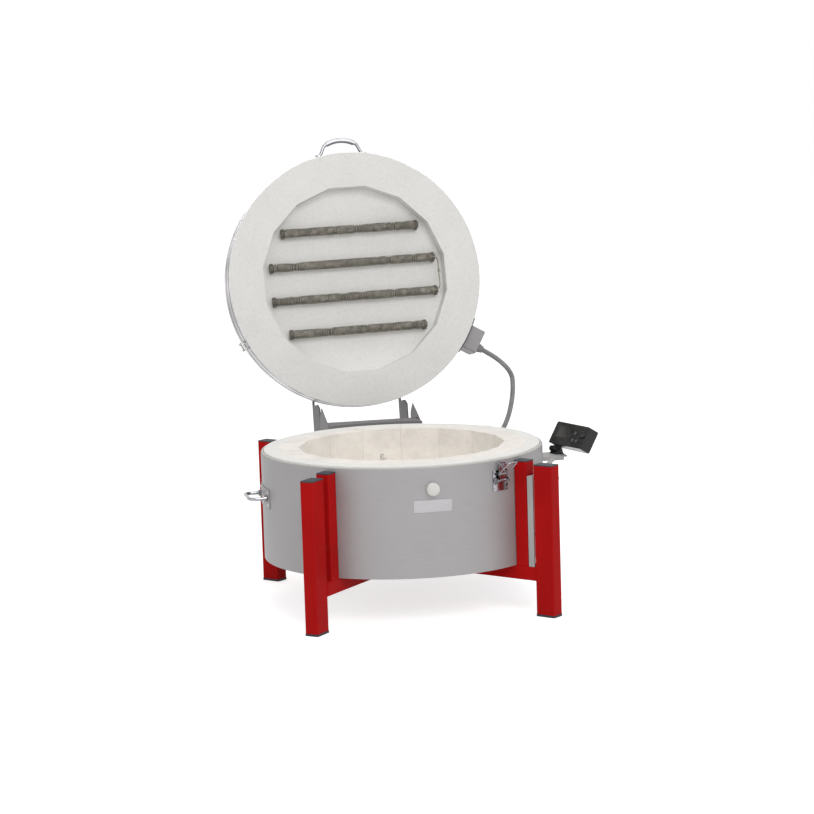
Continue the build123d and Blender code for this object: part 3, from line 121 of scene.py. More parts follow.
class Draft:
    """Mesh of one piece, gathered form by form in millimetres."""

    def __init__(self, on_lid: bool = False) -> None:
        """Start an empty mesh.

        Args:
            on_lid: Whether the points are written for the level lid.
        """
        self.points: list[Vector] = []
        self.faces: list[tuple[int, ...]] = []
        self.to_row = ROW_FROM_LID if on_lid else ROW_FROM_DRUM

    def skin(self, rings: Sequence[Sequence[Vector]], looped: bool = False, capped: bool = True) -> None:
        """Stretch a skin over rings that all have the same number of points.

        Args:
            rings: The rings, in order.
            looped: Whether the last ring joins the first one.
            capped: Whether the first and last rings are closed with a face.
        """
        first, count = len(self.points), len(rings[0])
        for ring in rings:
            self.points.extend(ring)
        spans = len(rings) if looped else len(rings) - 1
        for k in range(spans):
            low, high = first + k * count, first + (k + 1) % len(rings) * count
            for i in range(count):
                j = (i + 1) % count
                self.faces.append((low + i, low + j, high + j, high + i))
        if capped and not looped:
            self.faces.append(tuple(range(first + count - 1, first - 1, -1)))
            self.faces.append(tuple(range(first + (len(rings) - 1) * count, first + len(rings) * count)))

    def turned(self, profile: Sequence[tuple[float, float]], place: Matrix, steps: int = 20) -> None:
        """Add a turned form.

        Args:
            profile: Radius and height of each ring, from the seat up.
            place: Where it stands.
            steps: Points round it. Six make a hexagon.
        """
        turns = [2 * math.pi * i / steps for i in range(steps)]
        spokes = [(math.cos(turn), math.sin(turn)) for turn in turns]
        self.skin([[place @ Vector((r * c, r * s, h)) for c, s in spokes] for r, h in profile])

    def swept(self, path: Sequence[Vector], radius: float | Callable[[int], float], sides: int = 8,
              looped: bool = False) -> None:
        """Add a round bar that follows a path.

        Args:
            path: Points of its centre line.
            radius: Its radius, or a function of the point's number.
            sides: Points round it.
            looped: Whether it closes on itself.
        """
        first = path[-1] if looped else path[0] * 2 - path[1]
        last = path[0] if looped else path[-1] * 2 - path[-2]
        around = [first, *path, last]
        ways = [(after - before).normalized() for before, after in zip(around, around[2:])]
        side = ways[0].orthogonal().normalized()
        turns = [2 * math.pi * i / sides for i in range(sides)]
        rings = []
        for k, (point, way) in enumerate(zip(path, ways)):
            side = (side - way * side.dot(way)).normalized()
            other = way.cross(side)
            r = radius(k) if callable(radius) else radius
            rings.append([point + (side * math.cos(turn) + other * math.sin(turn)) * r for turn in turns])
        self.skin(rings, looped=looped)

    def piece(self, name: str, finish: "Finish", body: str,
              smooth: float = 40.0) -> bpy.types.Object:
        """Make the object, dress it and let it ride on its body.

        Args:
            name: Name of the piece.
            finish: Its finish.
            body: CAD body that it moves with, or an empty string for a piece that rides on no body.
            smooth: Largest angle in degrees that is shaded smooth.

        Returns:
            The new object.
        """
        mesh = bpy.data.meshes.new(name)
        mesh.from_pydata([self.to_row @ point for point in self.points], [], self.faces)
        mesh.validate()
        mesh.shade_smooth()
        mesh.set_sharp_from_angle(angle=math.radians(smooth))
        mesh.materials.append(finish.material())
        made = bpy.data.objects.new(name, mesh)
        bpy.context.scene.collection.objects.link(made)
        if body:
            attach(made, body)
        log.info("piece %s: %d faces", name, len(mesh.polygons))
        return made


class Head(Enum):
    """Kinds of fastener heads on the kiln."""

    RIVET = "domed rivet"
    PAN = "pan head screw with a cross recess"
    HEXAGON = "hexagon bolt on a washer"


# Points round each turned form of a head, and its rings as shares of the head's radius and height
HEAD_FORMS = {
    Head.RIVET: ((20, ((1.0, 0.0), (1.0, 0.25), (0.86, 0.68), (0.5, 0.93), (0.08, 1.0))),),
    Head.PAN: ((20, ((1.0, 0.0), (1.0, 0.45), (0.82, 0.9), (0.6, 1.0), (0.5, 1.0))),),
    Head.HEXAGON: (
        (24, ((1.35, 0.0), (1.35, 0.2), (1.25, 0.26))),
        (6, ((1.0, 0.26), (1.0, 0.86), (0.86, 1.0))),
    ),
}

# Outline of one of the four wings between the arms of a cross recess, and its foot and rise, as such shares
WING = ((0.12, 0.12), (0.46, 0.12), (0.40, 0.38), (0.12, 0.46))
WING_FOOT = 0.98
WING_RISE = 0.08


@dataclass(frozen=True)
class Fastener:
    """A screw, bolt or rivet as far as it shows.

    Attributes:
        head: Kind of head.
        radius: Radius of the head.
        height: Height of the head over its seat.
    """

    head: Head
    radius: float
    height: float

    def drive(self, draft: Draft, places: Sequence[Matrix]) -> None:
        """Add its head to a draft.

        Args:
            draft: The mesh that gathers the heads.
            places: One place for each.
        """
        for place in places:
            for steps, rings in HEAD_FORMS[self.head]:
                draft.turned([(self.radius * r, self.height * h) for r, h in rings], place, steps)
            if self.head is Head.PAN:
                for turn in (0.0, 90.0):
                    self._wings(draft, place @ Matrix.Rotation(math.radians(turn), 4, "Z"))

    def _wings(self, draft: Draft, place: Matrix) -> None:
        """Add two of the four raised wings that leave the cross recess between them.

        Args:
            draft: The mesh that gathers the heads.
            place: Place of the head, turned to the pair of wings.
        """
        rise = (place.to_3x3() @ UP) * (WING_RISE * self.height)
        for side in (-1, 1):
            ring = [place @ Vector((side * x * self.radius, y * self.radius, self.height * WING_FOOT))
                    for x, y in WING]
            draft.skin([ring, [point + rise for point in ring]])


def linear(shown: str) -> tuple[float, float, float, float]:
    """Linear colour, with an alpha of 1, of a colour written as RRGGBB."""
    parts = [int(shown[k:k + 2], 16) / 255 for k in (0, 2, 4)]
    return (*(c / 12.92 if c <= 0.04045 else ((c + 0.055) / 1.055) ** 2.4 for c in parts), 1.0)


class Board:
    """Node tree of one finish, with short calls for the nodes that it uses."""

    def __init__(self, name: str) -> None:
        """Start a material.

        Args:
            name: Name of the material.
        """
        self.material = bpy.data.materials.new(name)
        self.material.use_nodes = True
        self.nodes = self.material.node_tree.nodes
        self.links = self.material.node_tree.links
        self.shader = self.nodes["Principled BSDF"]

    def fixed(self, **values: float) -> None:
        """Set sockets of the shader that are the same all over, named with underscores."""
        for name, value in values.items():
            self.shader.inputs[name.replace("_", " ")].default_value = value

    def feed(self, name: str, source: Socket) -> None:
        """Link a socket to one of the shader's."""
        self.links.new(source, self.shader.inputs[name])

    def place(self) -> Socket:
        """Place on the piece, in metres of the row frame at rest."""
        return self.nodes.new("ShaderNodeTexCoord").outputs["Object"]

    def facing(self) -> Socket:
        """Direction that the surface faces, in the row frame at rest."""
        return self.nodes.new("ShaderNodeTexCoord").outputs["Normal"]

    def _fill(self, node: bpy.types.Node, terms: Sequence[Socket | float]) -> Socket:
        """Give a node its terms.

        Args:
            node: The node.
            terms: A socket or a number for each of its first sockets.

        Returns:
            The node's first result.
        """
        for socket, term in zip(node.inputs, terms):
            if isinstance(term, (int, float)):
                socket.default_value = term
            else:
                self.links.new(term, socket)
        return node.outputs[0]

    def maths(self, kind: str, *terms: Socket | float) -> Socket:
        """Work out a number.

        Args:
            kind: Kind of Math node.
            terms: Its terms.

        Returns:
            The result.
        """
        node = self.nodes.new("ShaderNodeMath")
        node.operation = kind
        return self._fill(node, terms)

    def times(self, first: Socket, second: Socket | float) -> Socket:
        """Product of two numbers."""
        return self.maths("MULTIPLY", first, second)

    def counted_from(self, origin: Vector) -> Socket:
        """Place on the piece, counted from another origin.

        Args:
            origin: The origin, in metres of the row frame.

        Returns:
            The place.
        """
        node = self.nodes.new("ShaderNodeVectorMath")
        node.operation = "SUBTRACT"
        node.inputs[1].default_value = tuple(origin)
        return self._fill(node, (self.place(),))

    def parts(self, where: Socket) -> Sequence[Socket]:
        """The three numbers of a vector."""
        node = self.nodes.new("ShaderNodeSeparateXYZ")
        self._fill(node, (where,))
        return tuple(node.outputs)

    def joined(self, x: Socket | float, y: Socket | float, z: Socket | float) -> Socket:
        """A vector of three numbers."""
        return self._fill(self.nodes.new("ShaderNodeCombineXYZ"), (x, y, z))

    def noise(self, where: Socket, scale: float, detail: float = 4.0, rough: float = 0.5) -> Socket:
        """Soft random pattern.

        Args:
            where: Place that it follows.
            scale: How fine it is.
            detail: How many finer layers lie on it.
            rough: Strength of those layers.

        Returns:
            The pattern, from 0 to 1.
        """
        node = self.nodes.new("ShaderNodeTexNoise")
        node.inputs["Scale"].default_value = scale
        node.inputs["Detail"].default_value = detail
        node.inputs["Roughness"].default_value = rough
        self.links.new(where, node.inputs["Vector"])
        return node.outputs[0]

    def cells(self, where: Socket, scale: float) -> Socket:
        """Pattern of scattered points.

        Args:
            where: Place that it follows.
            scale: How fine it is.

        Returns:
            The distance to the nearest point.
        """
        node = self.nodes.new("ShaderNodeTexVoronoi")
        node.inputs["Scale"].default_value = scale
        self.links.new(where, node.inputs["Vector"])
        return node.outputs["Distance"]

    def span(self, factor: Socket, low: float, high: float, start: float = 0.0, end: float = 1.0) -> Socket:
        """Carry a number from one range to another.

        Args:
            factor: The number.
            low: What `start` becomes.
            high: What `end` becomes.
            start: Where its own range starts.
            end: Where its own range ends.

        Returns:
            The new number.
        """
        node = self.nodes.new("ShaderNodeMapRange")
        for name, value in (("From Min", start), ("From Max", end), ("To Min", low), ("To Max", high)):
            node.inputs[name].default_value = value
        self.links.new(factor, node.inputs["Value"])
        return node.outputs["Result"]

    def shades(self, factor: Socket, *stops: tuple[float, str]) -> Socket:
        """Colour ramp.

        Args:
            factor: Number from 0 to 1 that the ramp follows.
            stops: Place and colour of each stop.

        Returns:
            The colour.
        """
        ramp = self.nodes.new("ShaderNodeValToRGB")
        while len(ramp.color_ramp.elements) < len(stops):
            ramp.color_ramp.elements.new(0.5)
        for element, (place, shown) in zip(ramp.color_ramp.elements, stops):
            element.position = place
            element.color = linear(shown)
        self.links.new(factor, ramp.inputs[0])
        return ramp.outputs[0]

    def blend(self, factor: Socket | float, first: Socket, second: Socket) -> Socket:
        """Mix two colours.

        Args:
            factor: Share of the second.
            first: The first.
            second: The second.

        Returns:
            The mixed colour.
        """
        node = self.nodes.new("ShaderNodeMix")
        node.data_type = "RGBA"
        self._fill(node, (factor,))
        self.links.new(first, node.inputs[6])
        self.links.new(second, node.inputs[7])
        return node.outputs[2]

    def relief(self, height: Socket, depth: float, strength: float = 1.0) -> None:
        """Bump of the surface.

        Args:
            height: Pattern from 0 to 1.
            depth: Height in millimetres that 1 stands for.
            strength: Share of it that shows.
        """
        node = self.nodes.new("ShaderNodeBump")
        node.inputs["Distance"].default_value = depth * MM
        node.inputs["Strength"].default_value = strength
        self.links.new(height, node.inputs["Height"])
        self.feed("Normal", node.outputs["Normal"])


@dataclass(frozen=True)
class Finish:
    """How one kind of surface looks.

    Attributes:
        name: Name of the finish. Its material adds a word, because the frame holds materials of its own.
        shown: Main colour as RRGGBB.
        rough: Roughness of the surface.
    """

    name: str
    shown: str
    rough: float

    def material(self) -> bpy.types.Material:
        """Get the material of the finish, made when it is first asked for.

        Returns:
            The material.
        """
        known = bpy.data.materials.get(f"{self.name}_finish")
        if known is None:
            board = Board(f"{self.name}_finish")
            self.paint(board)
            known = board.material
        return known

    def tint(self, share: float) -> str:
        """The main colour, lighter or darker by a share."""
        parts = [int(self.shown[k:k + 2], 16) for k in (0, 2, 4)]
        return "".join(f"{max(0, min(255, round(c * (1 + share)))):02x}" for c in parts)

    def paint(self, board: Board) -> None:
        """Build the nodes of the finish.

        Args:
            board: The node tree to fill.
        """
        raise NotImplementedError


# Radius in metres at which the grain runs as fine along the roll as on the flats, how much narrower it
# is across than along, and the least upward share of the facing that counts as flat
GRAIN_REACH = 0.41
GRAIN_SQUEEZE = 60.0
FLAT_FROM = 0.7


@dataclass(frozen=True)
class RolledSteel(Finish):
    """Brushed stainless sheet, rolled round the axis of the drum or the lid.

    Attributes:
        on_lid: Whether it follows the lid's axis.
        metal: Share of bare metal under its dulled skin.
        painted_reflection: Strength of the painted reflection, dark and bright streaks round the axis that
            stand in for the surroundings mirrored in a polished strip.
    """

    on_lid: bool = False
    metal: float = 1.0
    painted_reflection: float = 0.0

    def paint(self, board: Board) -> None:
        """Grain along the roll, straight on the flats, with soft smudges, and on a polished strip a painted
        reflection of dark and bright streaks round its rolled sides.

        Args:
            board: The node tree to fill.
        """
        local = board.counted_from((ROW_FROM_LID if self.on_lid else ROW_FROM_DRUM).translation)
        facing = board.facing()
        if self.on_lid:
            local, facing = self._levelled(board, local), self._levelled(board, facing)
        x, y, z = board.parts(local)
        turn = board.maths("ARCTAN2", x, board.times(y, -1.0))
        rolled = board.joined(board.times(turn, GRAIN_REACH), board.times(z, GRAIN_SQUEEZE), 0.0)
        flat = board.joined(x, board.times(y, GRAIN_SQUEEZE), 0.0)
        level = board.maths("GREATER_THAN", board.maths("ABSOLUTE", board.parts(facing)[2]), FLAT_FROM)
        grain = board.noise(board.blend(level, rolled, flat), 16.0, detail=7.0, rough=0.72)
        smudge = board.noise(board.place(), 5.0, detail=3.0)
        tone = board.shades(grain, (0.25, self.tint(-0.10)), (0.5, self.shown), (0.75, self.tint(0.08)))
        haze = board.shades(smudge, (0.3, self.tint(-0.05)), (0.7, self.tint(0.05)))
        colour = board.blend(0.35, tone, haze)
        # Painted reflection: dark and bright streaks round the axis stand in for the surroundings mirrored
        # in a polished band, kept off the flats.
        if self.painted_reflection:
            reflection_stretch = board.noise(board.joined(turn, board.times(z, 0.5), 0.0), 3.0, detail=2.0)
            dark, middle, light = self.tint(-0.7), self.tint(-0.25), self.tint(0.1)
            painted_reflection_tone = board.shades(reflection_stretch, (0.4, dark), (0.5, middle), (0.6, light))
            share = board.times(board.maths("SUBTRACT", 1.0, level), self.painted_reflection)
            colour = board.blend(share, colour, painted_reflection_tone)
        board.feed("Base Color", colour)
        wear = board.maths("ADD", grain, smudge)
        board.feed("Roughness", board.span(wear, self.rough - 0.07, self.rough + 0.07, 0.6, 1.4))
        board.fixed(Metallic=self.metal)
        board.relief(grain, 0.05, 0.5)

    def _levelled(self, board: Board, source: Socket) -> Socket:
        """Turn a direction or place back from the open lid to the level one.

        Args:
            board: The node tree.
            source: The direction or place.

        Returns:
            The turned one.
        """
        node = board.nodes.new("ShaderNodeVectorRotate")
        node.rotation_type = "X_AXIS"
        node.inputs["Angle"].default_value = math.radians(LID_OPENING)
        board.links.new(source, node.inputs["Vector"])
        return node.outputs[0]


@dataclass(frozen=True)
class Enamel(Finish):
    """Gloss enamel on welded steel tube."""

    def paint(self, board: Board) -> None:
        """Slight orange peel, with the tone thin and thick in places.

        Args:
            board: The node tree to fill.
        """
        where = board.place()
        cloud = board.noise(where, 7.0, detail=3.0)
        peel = board.noise(where, 420.0, detail=1.0)
        dust = board.noise(where, 90.0, detail=5.0, rough=0.7)
        tone = board.shades(cloud, (0.3, self.tint(-0.07)), (0.55, self.shown), (0.75, self.tint(0.05)))
        worn = board.shades(dust, (0.62, self.shown), (0.8, self.tint(0.12)))
        board.feed("Base Color", board.blend(0.2, tone, worn))
        board.feed("Roughness", board.span(dust, self.rough - 0.06, self.rough + 0.1, 0.3, 0.7))
        board.fixed(Specular_IOR_Level=0.03, Coat_Weight=0.01, Coat_Roughness=0.12)
        board.relief(peel, 0.06, 0.5)


@dataclass(frozen=True)
class FibreBoard(Finish):
    """Vacuum-formed ceramic fibre: pale, matt, with flow marks and small pits."""

    def paint(self, board: Board) -> None:
        """Broad clouds, short fibres and pits, which are darkened with painted shade.

        Args:
            board: The node tree to fill.
        """
        where = board.place()
        cloud = board.noise(where, 9.0, detail=4.0, rough=0.6)
        speck = board.noise(where, 120.0, detail=6.0, rough=0.75)
        x, y, z = board.parts(where)
        drawn = board.joined(board.times(x, 40.0), board.times(y, 260.0), board.times(z, 130.0))
        strands = board.noise(drawn, 1.0, detail=5.0, rough=0.7)
        pits = board.cells(where, 95.0)
        tone = board.shades(cloud, (0.3, self.tint(-0.045)), (0.5, self.shown), (0.72, self.tint(0.03)))
        fine = board.shades(speck, (0.34, self.tint(-0.09)), (0.5, self.shown), (0.7, self.tint(0.03)))
        # Painted shade: the pits are darkened as if shaded inside.
        dots = board.shades(pits, (0.05, self.tint(-0.16)), (0.13, self.shown))
        colour = board.blend(0.55, tone, fine)
        board.feed("Base Color", board.blend(0.3, colour, dots))
        board.feed("Roughness", board.span(speck, self.rough - 0.05, self.rough, 0.3, 0.7))
        height = board.maths("ADD", board.times(strands, 0.6), board.times(speck, 0.4))
        sunk = board.span(pits, 0.6, 1.0, 0.03, 0.12)
        board.relief(board.times(height, sunk), 0.9, 0.7)


@dataclass(frozen=True)
class FireBrick(Finish):
    """Light insulating brick: open pores in a warm grey body."""

    def paint(self, board: Board) -> None:
        """Pores of two sizes over a blotchy body, with painted shade darkening the larger pores.

        Args:
            board: The node tree to fill.
        """
        where = board.place()
        blotch = board.noise(where, 14.0, detail=5.0, rough=0.65)
        large, small = board.cells(where, 170.0), board.cells(where, 420.0)
        tone = board.shades(blotch, (0.3, self.tint(-0.09)), (0.55, self.shown), (0.8, self.tint(0.05)))
        # Painted shade: the larger pores are darkened as if shaded inside.
        painted_pore_shade = board.shades(large, (0.1, self.tint(-0.2)), (0.28, self.shown))
        board.feed("Base Color", board.blend(0.35, tone, painted_pore_shade))
        board.feed("Roughness", board.span(blotch, 0.86, self.rough))
        pores, pinholes = board.span(large, 0.0, 1.0, 0.05, 0.3), board.span(small, 0.5, 1.0, 0.05, 0.35)
        board.relief(board.times(pores, pinholes), 1.1, 0.8)


@dataclass(frozen=True)
class Wool(Finish):
    """Ceramic wool or soft rope, matt and downy."""

    def paint(self, board: Board) -> None:
        """Matted strands.

        Args:
            board: The node tree to fill.
        """
        where = board.place()
        mat = board.noise(where, 160.0, detail=6.0, rough=0.8)
        tuft = board.noise(where, 30.0, detail=3.0)
        fine = board.shades(mat, (0.3, self.tint(-0.12)), (0.6, self.shown))
        broad = board.shades(tuft, (0.3, self.tint(-0.06)), (0.7, self.shown))
        board.feed("Base Color", board.blend(0.5, fine, broad))
        board.feed("Roughness", board.span(mat, 0.9, 1.0))
        board.fixed(Sheen_Weight=0.2)
        board.relief(board.maths("ADD", mat, tuft), 1.5, 0.6)


@dataclass(frozen=True)
class FiredCeramic(Finish):
    """Plain fired ceramic, with fine specks and some heat staining.

    Attributes:
        stain: Colour of the staining as RRGGBB.
    """

    stain: str = "b9b2a4"

    def paint(self, board: Board) -> None:
        """Specks over soft staining.

        Args:
            board: The node tree to fill.
        """
        where = board.place()
        heat = board.noise(where, 22.0, detail=3.0)
        speck = board.noise(where, 520.0, detail=3.0)
        tone = board.shades(heat, (0.35, self.shown), (0.8, self.stain))
        dots = board.shades(speck, (0.3, self.tint(-0.12)), (0.48, self.shown))
        board.feed("Base Color", board.blend(0.35, tone, dots))
        board.feed("Roughness", board.span(heat, self.rough - 0.05, self.rough + 0.1))
        board.relief(speck, 0.12, 0.5)


@dataclass(frozen=True)
class OxidisedWire(Finish):
    """Resistance wire with its grey-brown oxide skin."""

    def paint(self, board: Board) -> None:
        """Patches of thin and thick oxide.

        Args:
            board: The node tree to fill.
        """
        where = board.place()
        patch = board.noise(where, 60.0, detail=4.0, rough=0.65)
        thick, thin = self.tint(-0.3), self.tint(0.3)
        board.feed("Base Color", board.shades(patch, (0.3, thick), (0.52, self.shown), (0.75, thin)))
        board.feed("Roughness", board.span(patch, self.rough - 0.1, self.rough + 0.12, 0.3, 0.7))
        board.fixed(Metallic=0.35, Specular_IOR_Level=0.3)
        board.relief(board.noise(where, 900.0, detail=2.0), 0.08, 0.6)


@dataclass(frozen=True)
class Plating(Finish):
    """Bright chrome, or zinc with its faint spangle.

    Attributes:
        spangle: Strength of the crystal pattern.
    """

    spangle: float = 0.0

    def paint(self, board: Board) -> None:
        """Polished metal with smudges, and crystals where it is zinc.

        Args:
            board: The node tree to fill.
        """
        where = board.place()
        smudge = board.noise(where, 45.0, detail=4.0, rough=0.6)
        crystal = board.cells(where, 260.0)
        tone = board.shades(smudge, (0.3, self.tint(-0.06)), (0.6, self.shown))
        frost = board.shades(crystal, (0.1, self.tint(-0.18)), (0.5, self.tint(0.08)))
        board.feed("Base Color", board.blend(self.spangle, tone, frost))
        board.feed("Roughness", board.span(smudge, self.rough - 0.03, self.rough + 0.06, 0.3, 0.7))
        board.fixed(Metallic=1.0)
        board.relief(smudge, 0.02, 0.3)


@dataclass(frozen=True)
class PowderCoat(Finish):
    """Baked powder coat on bent sheet."""

    def paint(self, board: Board) -> None:
        """Fine pebbled skin.

        Args:
            board: The node tree to fill.
        """
        where = board.place()
        pebble = board.noise(where, 700.0, detail=2.0)
        cloud = board.noise(where, 12.0, detail=3.0)
        board.feed("Base Color", board.shades(cloud, (0.3, self.tint(-0.04)), (0.7, self.tint(0.03))))
        board.feed("Roughness", board.span(pebble, self.rough - 0.05, self.rough + 0.08, 0.3, 0.7))
        board.relief(pebble, 0.08, 0.5)


@dataclass(frozen=True)
class Moulding(Finish):
    """Moulded plastic with a fine spark-eroded skin.

    Attributes:
        gloss: Strength of its clear, wet-looking top.
    """

    gloss: float = 0.0

    def paint(self, board: Board) -> None:
        """Fine skin with a few smudges.

        Args:
            board: The node tree to fill.
        """
        where = board.place()
        skin = board.noise(where, 1100.0, detail=2.0)
        smudge = board.noise(where, 28.0, detail=4.0)
        board.feed("Base Color", board.shades(smudge, (0.3, self.tint(-0.12)), (0.7, self.tint(0.1))))
        board.feed("Roughness", board.span(smudge, self.rough - 0.05, self.rough + 0.1, 0.3, 0.7))
        board.fixed(Specular_IOR_Level=0.25, Coat_Weight=self.gloss, Coat_Roughness=0.05)
        board.relief(skin, 0.03, 0.5)


@dataclass(frozen=True)
class PrintedBoard(Finish):
    """Circuit board with copper tracks under green lacquer."""

    def paint(self, board: Board) -> None:
        """Tracks as a fine grid of bars.

        Args:
            board: The node tree to fill.
        """
        where = board.place()
        tracks = board.nodes.new("ShaderNodeTexBrick")
        tracks.inputs["Scale"].default_value = 160.0
        board.links.new(where, tracks.inputs["Vector"])
        tracks.inputs["Color1"].default_value = linear(self.shown)
        tracks.inputs["Color2"].default_value = linear(self.tint(0.25))
        tracks.inputs["Mortar"].default_value = linear(self.tint(0.7))
        board.feed("Base Color", tracks.outputs[0])
        board.feed("Roughness", board.span(board.noise(where, 80.0), self.rough - 0.1, self.rough + 0.1))


DRUM_STEEL = RolledSteel("brushed_drum_steel", "a6a4a5", 0.52, metal=0.35)
# The lid's pan and its bands carry painted reflection streaks in their colour.
LID_STEEL = RolledSteel("brushed_lid_steel", "b2b0b1", 0.34, on_lid=True, painted_reflection=0.35)
BAND_STEEL = RolledSteel("bright_band_steel", "d2d1d2", 0.2, on_lid=True, painted_reflection=0.95)
RED_ENAMEL = Enamel("red_enamel", "b41515", 0.36)
CAP_PLASTIC = Moulding("cap_plastic", "30383f", 0.5)
BRICK = FireBrick("chamber_brick", "f7f2eb", 0.95)
LID_FIBRE = FibreBoard("lid_fibre", "e6e5e2", 0.95)
RECESS_FIBRE = FibreBoard("recess_fibre", "efeeeb", 0.95)
RIM_FIBRE = FibreBoard("rim_fibre", "efeeea", 0.92)
FIBRE_WOOL = Wool("fibre_wool", "ecebe6", 1.0)
EDGE_SEAL = Wool("edge_seal", "cdcbc6", 0.9)
PLUG_CERAMIC = FiredCeramic("plug_ceramic", "e2e1de", 0.6, stain="cfccc4")
TUBE_CERAMIC = FiredCeramic("tube_ceramic", "6b675f", 0.7, stain="514d45")
WIRE = OxidisedWire("heating_wire", "98948a", 0.6)
CHROME = Plating("chrome", "a4a4a8", 0.12)
ZINC = Plating("zinc", "c3c4c0", 0.32, spangle=0.35)
LABEL_METAL = RolledSteel("bare_label_metal", "b3b1b4", 0.42, metal=0.75)
GREY_SHEET = PowderCoat("grey_sheet", "747273", 0.5)
ARM_COAT = PowderCoat("arm_coat", "505052", 0.5)
LIGHT_SHEET = PowderCoat("light_sheet", "b0afad", 0.55)
BOX_SHEET = PowderCoat("box_sheet", "9a9899", 0.46)
BLACK_COAT = PowderCoat("black_coat", "1b1b1d", 0.45)
CASE_PLASTIC = Moulding("case_plastic", "171618", 0.25, gloss=0.3)
WINDOW_PANE = Moulding("window_pane", "0c0d10", 0.08, gloss=1.0)
KEY_PLASTIC = Moulding("key_plastic", "5a5a5c", 0.55)
GREY_PLASTIC = Moulding("grey_plastic", "8c8c8c", 0.5)
RELAY_PLASTIC = Moulding("relay_plastic", "2c2d30", 0.45)
BOARD_LACQUER = PrintedBoard("board_lacquer", "15512c", 0.35)
PORCELAIN = FiredCeramic("porcelain", "efece2", 0.25, stain="e2dccb")


def dress(finish: Finish, *nodes: str) -> None:
    """Give CAD nodes a finish.

    Args:
        finish: The finish.
        nodes: Names of the nodes.
    """
    for name in nodes:
        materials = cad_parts[name].data.materials
        materials.clear()
        materials.append(finish.material())
        log.info("dressed %s in %s", name, finish.name)


@dataclass(frozen=True)
class Lamp:
    """Square soft lamp, in metres of the row frame.

    Attributes:
        name: Its name.
        stand: Where it hangs.
        size: Side of its panel.
        power: Its power in watts.
    """

    name: str
    stand: tuple[float, float, float]
    size: float
    power: float

    def hang(self, aim: Vector) -> None:
        """Add the lamp to the scene.

        Args:
            aim: Point that it faces.
        """
        data = bpy.data.lights.new(self.name, "AREA")
        data.size = self.size
        data.energy = self.power
        lamp = bpy.data.objects.new(self.name, data)
        turn = (aim - Vector(self.stand)).to_track_quat("-Z", "Y").to_matrix().to_4x4()
        lamp.matrix_world = Matrix.Translation(self.stand) @ turn
        bpy.context.scene.collection.objects.link(lamp)


def seen_directly(nodes: bpy.types.Nodes, links: bpy.types.NodeLinks) -> Socket:
    """Tell the rays that show a surface from those that only light others.

    Args:
        nodes: Nodes of the material or the world.
        links: Their links.

    Returns:
        1 for the camera's own rays and those off metal and through glass, otherwise 0.
    """
    path = nodes.new("ShaderNodeLightPath")
    seen = path.outputs["Is Camera Ray"]
    for kind in ("Is Glossy Ray", "Is Transmission Ray"):
        either = nodes.new("ShaderNodeMath")
        either.operation = "MAXIMUM"
        links.new(seen, either.inputs[0])
        links.new(path.outputs[kind], either.inputs[1])
        seen = either.outputs[0]
    return seen


